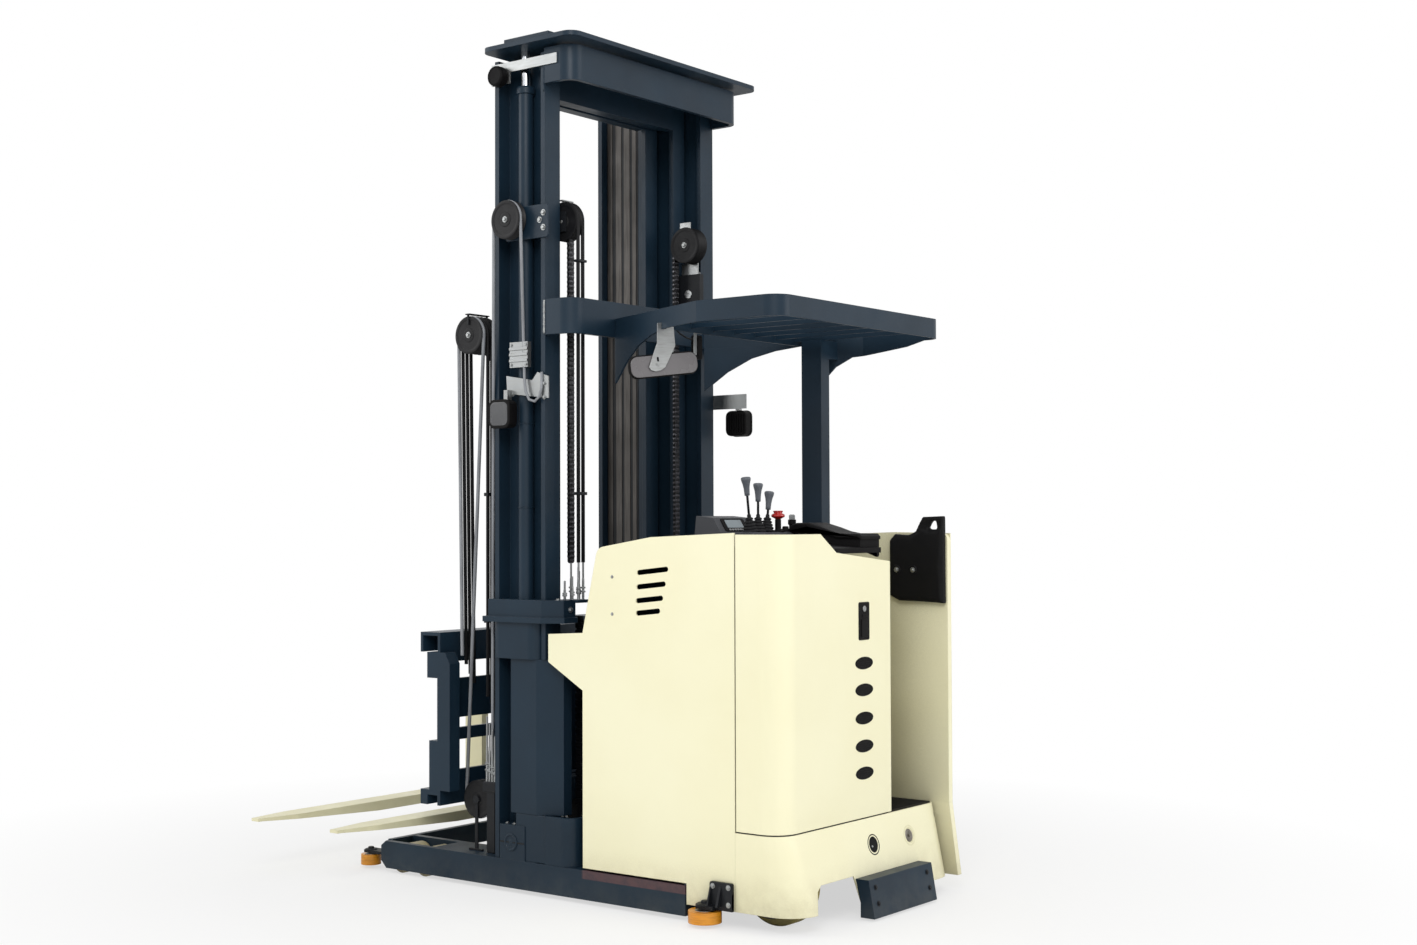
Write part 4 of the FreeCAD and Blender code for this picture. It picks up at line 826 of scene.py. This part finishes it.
def face_plates(name, slot, rows, material=None):
    # rows: low and high up the face, across it and out of it, then a corner radius
    bm = bmesh.new()
    for u0, u1, y0, y1, d0, d1, r in rows:
        outline = rect(u0, u1, y0, y1, r)
        small = inset(outline, min(1.0, (d1 - d0) * 0.4))
        levels = ((outline, d0), (outline, d1 - (d1 - d0) * 0.3), (small, d1))
        add_rings(bm, [[point(*display_spot(u, y, d)) for u, y in level] for level, d in levels])
    put(name, bm, "chassis", slot, material)


def display():
    face_plates("display_bezel", "black_plastic", [(3, 61, 30, 178, 0, 3, 8)])
    face_plates("display_screen", "black_plastic", [(18, 54, 52, 156, 2.6, 3.8, 3)], "screen")
    keys = [(6, 14, 56 + 17 * i, 68 + 17 * i, 2.6, 5, 2) for i in range(6)]
    face_plates("display_keys", "grey_plastic", keys)


def bellows_profile():
    # five folds that narrow upward, then a neck
    folds = [(LEVER_RADIUS, -1)]
    for i in range(5):
        r = LEVER_RADIUS - 4.0 * i
        foot = LEVER_FOLD * i
        folds += [(r + 1, foot + 3), (r + 1.6, foot + 5.5), (r - 1, foot + 9), (r - 6.5, foot + 12)]
    return folds + [(8, 62), (7, 68), (5, 69)]


def levers():
    # a grip's rows are its radius and how far below the knob's top
    grip = [(8.5, 72), (10, 71), (10.4, 60), (11.5, 44), (14, 28), (17.5, 16), (19, 9), (18.6, 4), (15, 1),
            (8, 0), (2, 0)]
    bellows, stems, grips = bmesh.new(), bmesh.new(), bmesh.new()
    for foot_y, knob_y, knob_z in LEVERS:
        base = (CONSOLE_X, foot_y, CONSOLE_Z)
        axis = Vector((0.0, knob_y - foot_y, knob_z - CONSOLE_Z))
        top = axis.length
        add_lathe(bellows, base, axis, bellows_profile(), 36)
        add_lathe(stems, base, axis, [(4.8, 60), (4.8, top - 58), (4.2, top - 56)], 16)
        add_lathe(grips, base, axis, [(r, top - below) for r, below in grip], 32)
    boots = put("lever_bellows", bellows, "chassis", "black_plastic", "hose_rubber", True)
    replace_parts(boots, "console_levers")
    put("lever_stems", stems, "chassis", "black_plastic", "black_paint", True)
    put("lever_grips", grips, "chassis", "black_plastic", "grip_grey", True)


def console_turned(name, dx, ys, profile, sides, slot="black_plastic"):
    # turned pieces that stand on the console, beside the levers' line by dx
    rows = [((CONSOLE_X + dx, y, CONSOLE_Z), UP, profile) for y in ys]
    return turned(name, "chassis", slot, rows, sides)


def stop_and_key():
    head = [(10, 50), (15, 53), (25, 58), (27, 62), (26.4, 67), (21, 70.5), (17, 72), (16.5, 75), (18, 78),
            (19.5, 80), (19, 82), (15, 83), (3, 83)]
    collar = [(24, -1), (24, 5), (22, 7), (13, 8), (12, 12), (12, 46), (10, 52)]
    barrel = [(17, -1), (17, 3), (15, 5), (12, 6), (12, 27), (16, 29), (16, 46), (14.5, 48)]
    bow = [(386, 1460), (414, 1460), (414, 1477), (409, 1481), (391, 1481), (386, 1477)]
    button = [(9, -1), (9, 4), (7.5, 5.5), (2, 5.8)]
    dial = [(19, -1), (19, 8), (16, 12), (13, 13), (12, 20), (10, 22), (2, 22.4)]
    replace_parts(console_turned("stop_head", -20, [-5], head, 40, "red_plastic"), "stop_button")
    console_turned("stop_collar", -20, [-5], collar, 32)
    console_turned("key_barrel", -20, [-100], barrel, 32)
    slabs("key_bow", "chassis", "steel", [("y", bow, -102, -98, 1.2)], "zinc")
    console_turned("console_buttons", 18, (-62, -86, -110), button, 24)
    console_turned("dial", -22, [-52], dial, 28)


def armrest_pad():
    top = [(52, 1384), (52, 1396), (62, 1406), (162, 1408), (230, 1430), (301, 1449), (350, 1448),
           (376, 1440), (392, 1418), (388, 1408), (300, 1424), (160, 1384)]
    slabs("armrest_top", "chassis", "black_plastic", [("y", top, -202, -53, 9.0)])
    side = [(70, 1322), (70, 1340), (150, 1362), (320, 1392), (320, 1386), (160, 1352)]
    slabs("armrest_side", "chassis", "black_plastic", [("y", side, -204, -194, 3.0)])


# Mirror, its arm, lamps and small units on the guard and posts

MIRROR_CENTRE = (621.0, 431.0, 2046.0)
MIRROR_TURN = -25
MIRROR_ROLL = -7
LAMP_Z = 1880.0

# lamps: x, y of the mounting face, direction outward
LAMPS = ((1308.0, 557.0, 1), (1010.0, -551.0, -1))


def swivel(piece):
    # the piece turned about the mirror's upright axis after a roll in its own plane
    centre = point(*MIRROR_CENTRE)
    move = (Matrix.Translation(centre) @ Matrix.Rotation(math.radians(MIRROR_TURN), 4, "Z")
            @ Matrix.Rotation(math.radians(MIRROR_ROLL), 4, "X") @ Matrix.Translation(-centre))
    piece.data.transform(move)


def mirror():
    shell = rect(286, 576, 2002, 2090, 34, 5)
    back = slabs("mirror_shell", "chassis", "black_plastic", [("x", shell, 610, 630, 6.0)])
    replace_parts(back, "mirror")
    glass = [("x", inset(shell, 5), 607.5, 611, 1.2)]
    strip = [(445, 2205), (378, 2205), (380, 2114), (431, 2038), (450, 2027), (474, 2024), (492, 2030),
             (500, 2042), (455, 2131)]
    slot = [("x", rect(456, 464, 2042, 2078, 3.5), 599, 600.6, 0.3)]
    for part in (back,
                 slabs("mirror_face", "chassis", "grey_plastic", glass, "mirror_face"),
                 slabs("mirror_arm", "chassis", "zinc", [("x", strip, 600, 603.5, 0.8)]),
                 slabs("mirror_arm_slot", "chassis", "black_plastic", slot),
                 bolts("mirror_screw", "chassis", 6, BACK, [(600, 462, 2052)])):
        swivel(part)


def lamp_layers(half, radius, near, far, soft):
    # one square layer on each lamp, between two distances from its mounting face
    rows = []
    for x, face, out in LAMPS:
        y0, y1 = sorted((face + near * out, face + far * out))
        rows.append(("y", rect(x - half, x + half, LAMP_Z - half, LAMP_Z + half, radius, 4), y0, y1, soft))
    return rows


def lamps():
    fins = []
    for x, face, out in LAMPS:
        y0, y1 = sorted((face - 4 * out, face + 6 * out))
        for i in range(7):
            fin_x = x - 44 + 13 * i
            fins.append(("y", rect(fin_x, fin_x + 4, LAMP_Z - 40, LAMP_Z + 40), y0, y1, 1.0))
    drum = [(30, 0), (38, 3), (41, 10), (41, 34), (39, 41), (34, 46), (33, 43), (2, 42)]
    sensor = turned("sensor_drum", "chassis", "black_plastic", [((1344, 551, 3225), LEFT, drum)], 40)
    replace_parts(sensor, "work_lamps")
    slabs("lamp_bodies", "chassis", "black_plastic", lamp_layers(55, 26, 0, 42, 6.0))
    slabs("lamp_rims", "chassis", "black_plastic", lamp_layers(57, 27, 38, 50, 3.5))
    slabs("lamp_fins", "chassis", "black_plastic", fins)
    slabs("lamp_lenses", "chassis", "black_plastic", lamp_layers(46, 20, 46, 51.5, 1.5), "lens")


def guard_unit():
    # a small alarm on a plate below the guard's cross bar, with its lead
    body = [("x", rect(196, 236, 2082, 2176, 8), 612, 640, 4.0),
            ("x", rect(203, 229, 2094, 2164, 5), 608, 613, 2.0)]
    plate = [("x", rect(238, 256, 2096, 2216, 5), 608, 611, 0.8),
             ("x", rect(204, 256, 2180, 2216, 5), 608, 611, 0.8)]
    lead = [(620, 236, 2150), (616, 262, 2156), (612, 300, 2160), (611, 340, 2172), (610, 372, 2190),
            (606, 390, 2206)]
    slabs("alarm_body", "chassis", "black_plastic", body)
    slabs("alarm_plate", "chassis", "zinc", plate)
    tubes("alarm_lead", "chassis", "hose_rubber", [(lead, 3.2)])


# Threaded anchors that end the chains

ANCHOR_RADIUS = 5.5
THREAD_PITCH = 3.4
COLLAR_TOP = 1151
ANCHOR_FOOT = 1148


def add_anchor(bm, x, y, z, length):
    r = ANCHOR_RADIUS
    profile = [(4, 0), (r, 2)]
    along = 4.0
    while along < length * 0.55:
        profile += [(r, along), (r * 0.8, along + 1.6)]
        along += THREAD_PITCH
    profile += [(r * 0.72, along), (r * 0.72, length), (3, length + 2)]
    add_lathe(bm, (x, y, z), UP, profile, 14)
    for k in (0.2, 0.3):
        add_prism(bm, (x, y, z + length * k), UP, r * 1.7, r * 1.1, 6)


def anchors(name, body, z, rows):
    # rows: x, y, length
    bm = bmesh.new()
    for x, y, length in rows:
        add_anchor(bm, x, y, z, length)
    put(name, bm, body, "zinc")


def anchor_groups():
    shelves = [(1030, 1126, y0, y1, 1139, COLLAR_TOP) for y0, y1 in ((382, 456), (-456, -340))]
    block_group("anchor_shelf", "chassis", "mast_paint", shelves)
    anchors("anchors_collar", "chassis", ANCHOR_FOOT, [
        (1100, 416, 154), (1048.5, 403, 154), (1048.5, 430, 154), (1076, 396, 112), (1076, 436, 92),
        (1062, 416, 128), (1112, 440, 74), (1112, -371, 90)])
    anchors("anchors_inside", "chassis", 76, [
        (1250, 338, 406), (1228, 338, 368), (1207, 338, 332), (1185, 338, 296)])
    anchors("anchors_sheave", "chassis", 404, [
        (1490, 486, 267), (1476, 486, 238), (1461, 486, 216), (1447, 486, 190)])
    block_group("anchor_clamp", "chassis", "black_paint", [
        (1434, 1502, 474, 499, 372, 414), (1440, 1482, 478, 496, 130, 374),
        (1180, 1256, 326, 350, 176, 210)], 3.0)


# Fittings on the mast

CYLINDER_X = 1253
CYLINDER_Y = 509
POST_FACE = 546
TRUNNION_X = 1300
TRUNNION_Z = 198
TRUNNION_FACE = 548.0
TRUNNION_TOP = 266.0
RAIL_WEB = 312.0


def mast_bolts():
    bolts("sheave_plate_bolts", "chassis", 8, LEFT, [(1124, 549, 2664), (1143, 549, 2637), (1124, 549, 2606)])
    bolts("lamp_plate_bolts", "chassis", 6, LEFT, [
        (1122, POST_FACE, 1995), (1122, POST_FACE, 1942), (1290, POST_FACE, 1960)])
    bolts("clamp_bolts", "chassis", 5, LEFT, [(x, 561, z) for x in (1206, 1284) for z in (2074, 2152)])
    bolts("collar_bolts", "chassis", 8, BACK, [(1046, y, 1113) for y in (480, -480)])
    tops = [(x, y, COLLAR_TOP) for x in (1076, 1380) for y in (520, -520)]
    bolts("collar_top_bolts", "chassis", 7, UP, tops)


def mast_clips():
    # bands, tees and clips that hold the cables and hoses beside the sheaves
    bands = [(1197, 1293, 560, 565, z, z + 12) for z in (2084, 2108, 2130)]
    block_group("clamp_bands", "chassis", "zinc", bands)
    block_group("sheave_tees", "middle_mast", "zinc", [
        (1112, 1132, 384, 448, 2722, 2727), (1118, 1126, 430, 436, 2690, 2724),
        (1096, 1150, -352, -346, 2706, 2738), (1100, 1188, -411, -405, 2519, 2570),
        (1104, 1184, -428, -424, 2519, 2532)])
    block_group("hose_tee", "inner_mast", "black_paint", [
        (1548, 1572, 412, 528, 2296, 2301), (1556, 1564, 413, 418, 2255, 2298),
        (1556, 1564, 521, 526, 2255, 2298)])
    inner = [(1476, 1497, 430, 497, z, z + 14) for z in (1560, 1050)]
    block_group("hose_clips", "inner_mast", "black_paint", inner)
    front, back = (1180, 1208), (1036, 1062)
    middle = [(*x, 392, 440, z0, z1) for x, z0, z1 in (
        (front, 2476, 2486), (back, 2476, 2486), (back, 1560, 1572), (front, 1560, 1572))]
    block_group("hose_clips_middle", "middle_mast", "black_paint", middle)


def cylinder_trim():
    washer = [(19, 0), (19, 2.4), (17.5, 3.4), (7, 3.4), (6.5, 1.6), (2, 1.6)]
    seam = [(30, 0), (32.6, 0.8), (33, 3), (32.6, 5.2), (30, 6)]
    gland = [(31, 0), (37, 3), (37, 24), (34, 30), (26, 31), (22, 34), (20, 34)]
    turned("chain_block_washer", "middle_mast", "zinc", [((1150, -402.4, 2436), LEFT, washer)], 36)
    for name, zs, profile, sides in (("barrel_seams", (1841, 1510), seam, 36),
                                     ("barrel_glands", (3150,), gland, 40)):
        rows = [((CYLINDER_X, y, z), UP, profile) for y in (CYLINDER_Y, -CYLINDER_Y) for z in zs]
        turned(name, "chassis", "mast_paint", rows, sides)


def sheave_brackets():
    # the top plate as it is built, and a slim dark strap that leaves the foot sheave open to view
    top_x, top_z = SHEAVES["a"][:2]
    foot_x, foot_z = SHEAVES["c"][:2]
    bm = bmesh.new()
    add_slab(bm, "y", rect(1100, 1326, 2567, 2698, 10), 541, 549, 1.2)
    add_slab(bm, "y", rect(1256, 1316, 2613, 2681, 8), 549, 554, 1.0)
    add_prism(bm, (top_x, 548, top_z), LEFT, 12, 8, 20)
    upper = len(bm.faces)
    add_slab(bm, "z", rect(foot_x - 36, foot_x + 36, 472.5, 486), 130, 137, 1.0)
    add_slab(bm, "y", rect(foot_x - 8, foot_x + 8, 132, 350, 6), 474, 480, 1.0)
    add_prism(bm, (foot_x, 472, foot_z), LEFT, 17, 12, 24)
    piece = put("sheave_brackets", bm, "chassis", "mast_paint")
    piece.data.materials.append(MATERIALS["black_paint"])
    for face in list(piece.data.polygons)[upper:]:
        face.material_index = 1
    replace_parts(piece, "cable_brackets")


def foot_blocks():
    # the rounded base that closes round each post's foot
    blocks = [("z", rect(1119, 1277, y0, y1, 4), 131, 316, 3.0) for y0, y1 in ((462, 545), (-545, -462))]
    slabs("foot_blocks", "chassis", "mast_paint", blocks)


def trunnion_caps():
    cap = [(34, 0), (34, 3.4), (32, 5), (27, 5), (25, 3), (25, 2.2), (10, 2.2), (8, 3.4), (2, 3.4)]
    rows = []
    lines = []
    for side in (1, -1):
        y = TRUNNION_FACE * side
        rows.append(((TRUNNION_X, y - side, TRUNNION_Z), (0, side, 0), cap))
        y0, y1 = sorted((y - 2 * side, y + 1.4 * side))
        lines.append((1229, 1357, y0, y1, TRUNNION_Z - 3, TRUNNION_Z + 3))
    turned("trunnion_rings", "chassis", "mast_paint", rows, 44)
    block_group("trunnion_splits", "chassis", "black_paint", lines, 0.6)
    tops = [(x, y, TRUNNION_TOP) for x in (1304, 1342) for y in (524, -524)]
    bolts("trunnion_bolts", "chassis", 6, UP, tops)


def cable_chain():
    # a column of links inside the mast, behind the body's front, with wide black plates behind them as
    # painted shade inside the mast
    boxes = [(1150, 1180, 286, 302, z, z + 22) for z in range(330, 1060, 28)]
    block_group("cable_chain_links", "chassis", "black_paint", boxes, 3.0)
    # the spine, and wide black plates behind the links as painted shade inside the mast
    block_group("cable_chain_spine_and_shade", "chassis", "black_paint", [
        (1154, 1176, 289, 299, 76, 1060), (1062, 1184, 268, 274, 76, 1060),
        (1184, 1238, 268, 274, 76, 352)], 1.0)


def rail_wear():
    # bare running strips with black lines between them as painted shade of the gaps between the rails, named
    # for the side that they face
    strips = [(1366, 1386), (1401, 1434), (1448, 1480), (1500, 1526)]
    for side, word in SIDES:
        y0, y1 = sorted((-RAIL_WEB * side, (1.4 - RAIL_WEB) * side))
        block_group("rail_gap_shade_" + word, "inner_mast", "black_paint", [(1356, 1533, y0, y1, 360, 3270)], 0.3)
        y0, y1 = sorted((-RAIL_WEB * side, (3.4 - RAIL_WEB) * side))
        bare = [(x0, x1, y0, y1, 372, 3262) for x0, x1 in strips]
        block_group("rail_strips_" + word, "inner_mast", "steel", bare, 0.6, "rail_steel")


def welds():
    # the yoke's beads take bright zinc instead of slate paint as a painted highlight along them
    yoke = [((1122, y, 2190), (1122, y, 2321), 6) for y in (POST_FACE, -POST_FACE)]
    weld("welds_yoke_highlight", "chassis", "zinc", yoke)
    weld("welds_chassis", "chassis", "mast_paint", [
        ((1170, 541, 131), (1262, 541, 131), 4), ((1122, 548, 316), (1122, 460, 316), 4),
        ((1124, 545, 3140), (1124, 545, 3280), 4), ((460, -486, 2196), (546, -486, 2196), 4)])
    weld("welds_carriage", "carriage", "mast_paint", [((1700, 300, 244), (1700, -300, 244), 4)])


# Fittings on the body

VENT_Y = 8
VENT_HEIGHTS = (923.0, 823.0, 718.0, 614.0, 513.0)
SKIRT_LEAN = (-0.9701, 0, 0.2425)
BUMPER_LEAN = (-0.984, 0.0, 0.178)


def door_vents():
    cups = [("x", ellipse(VENT_Y, z, 61, 23.5), -1.6, 5, 1.4) for z in VENT_HEIGHTS]
    slabs("door_vent_cups", "service_door", "black_plastic", cups)
    fins = []
    for z in VENT_HEIGHTS:
        for dz, half in ((-12, 42), (-4, 54), (4, 54), (12, 42)):
            outline = rect(VENT_Y - half, VENT_Y + half, z + dz - 1.3, z + dz + 1.3)
            fins.append(("x", outline, -2.6, -1.0, 0.5))
    slabs("door_vent_fins", "service_door", "black_plastic", fins)


def door_lock():
    plate = [("x", rect(-29, 45, 1009, 1151, 7), -2.2, 4, 1.6)]
    flap = [("x", rect(-14, 30, 1020, 1088, 6), -5.5, -1.5, 2.0),
            ("x", rect(-8, 24, 1094, 1106, 4), -4.5, -1.5, 1.5)]
    key = [(11, 0), (11, 2.4), (9.5, 3.6), (4, 3.6), (3.6, 2.4), (1, 2.4)]
    slabs("door_lock_plate", "service_door", "black_plastic", plate)
    slabs("door_lock_flap", "service_door", "black_plastic", flap)
    turned("door_lock_key", "service_door", "zinc", [((-1.8, 8, 1126), BACK, key)], 28)


def body_fittings():
    bolts("panel_screws", "chassis", 4.2, LEFT, [(776, 547.6, z) for z in (1247, 1107)])
    # the bumper's face leans forward as it rises
    spots = ((112, 118), (108, 60), (-252, 118), (-256, 60))
    places = [(-130 + (z - 10) * 25 / 138.0, y, z) for y, z in spots]
    bolts("bumper_bolts", "chassis", 6.5, BUMPER_LEAN, places, "black_paint")
    dish = [(39, -1.5), (39, 0.5), (37, 0.9), (35, 0.4), (34, -1.0), (2, -1.0)]
    plug = [(25, 0), (25, 3), (22, 5), (15, 5.5), (12, 3), (6, 3), (5, 8), (2, 8.5)]
    stud = [(4.5, 0), (4.5, 4), (3, 6), (1, 6)]
    for name, slot, place, profile, sides, look in (
            ("skirt_cup_left", "black_plastic", (-24, -13, 247), dish, 40, None),
            # the right cup takes the darker fork cream as painted shade in its recess
            ("skirt_cup_right_shaded", "body_cream", (-24, -270, 247), dish, 40, "fork_paint"),
            ("skirt_plug", "steel", (-21, -266, 246), plug, 32, None),
            ("skirt_stud", "zinc", (-21, -4, 240), stud, 20, None)):
        turned(name, "chassis", slot, [(place, SKIRT_LEAN, profile)], sides, look)


def pad_fixings():
    # two cups sunk in the wall pad, each with a bolt
    cup = [(19, 0), (19, 9), (16, 11.5), (13, 11.5), (12.5, 9), (2, 9)]
    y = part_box("wall_pad")[1][1] * 1000 + ORIGIN.y
    turned("pad_cups", "chassis", "pad_foam", [((x, y - 13, 1259), LEFT, cup) for x in (160, 84)], 28)
    bolts("pad_bolts", "chassis", 7.0, LEFT, [(x, y - 4, 1259) for x in (160, 84)])


# Fittings on the guides and wheels

# guide rollers: end, x, y, radius, foot and profile of the hub
GUIDES = (
    ("rear", 329, 562, 61, 77, [(34, -2), (34, 3), (28, 6), (16, 7), (15, 13), (12, 15), (2, 15)]),
    ("front", 2155, 502, 42, 75, [(26, -2), (26, 2), (22, 4), (13, 5), (12, 11), (10, 12), (2, 12)]),
)


def guide_plates(side, word):
    y = 561.5 * side
    y0, y1 = sorted((548 * side, y))
    plate = [("y", rect(209, 309, 64, 163, 7), y0, y1, 1.5)]
    slabs("guide_plate_" + word, "chassis", "black_paint", plate)
    screws = [(224, y, 148), (224, y, 86), (294, y, 148)]
    bolts("guide_bolts_" + word, "chassis", 6.5, (0, side, 0), screws)
    rib = [(y, 150), (y, 77), (586 * side, 77)]
    ribs = [("x", rib, x0, x1, 1.5) for x0, x1 in ((256, 266), (300, 307))]
    slabs("guide_rib_" + word, "chassis", "black_paint", ribs)


def guide_fittings():
    for side, word in SIDES:
        guide_plates(side, word)
        hubs = [((x, y * side, foot), UP, hub) for _, x, y, _, foot, hub in GUIDES]
        turned("guide_hubs_" + word, "chassis", "black_paint", hubs, 36)
    for place, x, y, r, _, _ in GUIDES:
        disc = [(r * 0.6, 0), (r * 0.6, 1.6), (r * 0.5, 2.4), (r * 0.3, 2.4)]
        for side, word in SIDES:
            name = "%s_%s" % (place, word)
            rows = [((x, y * side, 56.6), UP, disc)]
            turned("guide_disc_" + name, "guide_roller_" + name, "zinc", rows, 36)


def wheel_fittings():
    x, z, bolt_ring = 124, 150, 78
    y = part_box("drive_wheel")[1][1] * 1000 + ORIGIN.y
    rim = [(104, 0), (104, 2), (98, 4), (60, 4), (56, 1.5), (44, 1.5), (42, 6), (30, 7), (8, 7)]
    turned("drive_rim", "drive_wheel", "cast", [((x, y - 1, z), LEFT, rim)], 56)
    turns = [math.pi / 3 * i for i in range(6)]
    places = [(x + bolt_ring * math.cos(a), y + 3, z + bolt_ring * math.sin(a)) for a in turns]
    bolts("drive_bolts", "drive_wheel", 7, LEFT, places)


def mat_ribs():
    low, high = (Vector(c) * 1000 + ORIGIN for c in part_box("floor_mat"))
    margin, pitch, width = 24, 14, 5
    boxes = []
    y = low.y + 22
    while y < high.y - margin:
        boxes.append((low.x + margin, high.x - margin, y, y + width, high.z - 1, high.z + 2.2))
        y += pitch
    block_group("mat_ribs", "chassis", "mat_rubber", boxes, 0.8)


display()
levers()
stop_and_key()
armrest_pad()
mirror()
lamps()
guard_unit()
wall_pad()
mast_bolts()
mast_clips()
cylinder_trim()
sheave_brackets()
foot_blocks()
trunnion_caps()
anchor_groups()
cable_chain()
rail_wear()
welds()
door_vents()
door_lock()
body_fittings()
pad_fixings()
guide_fittings()
wheel_fittings()
mat_ribs()
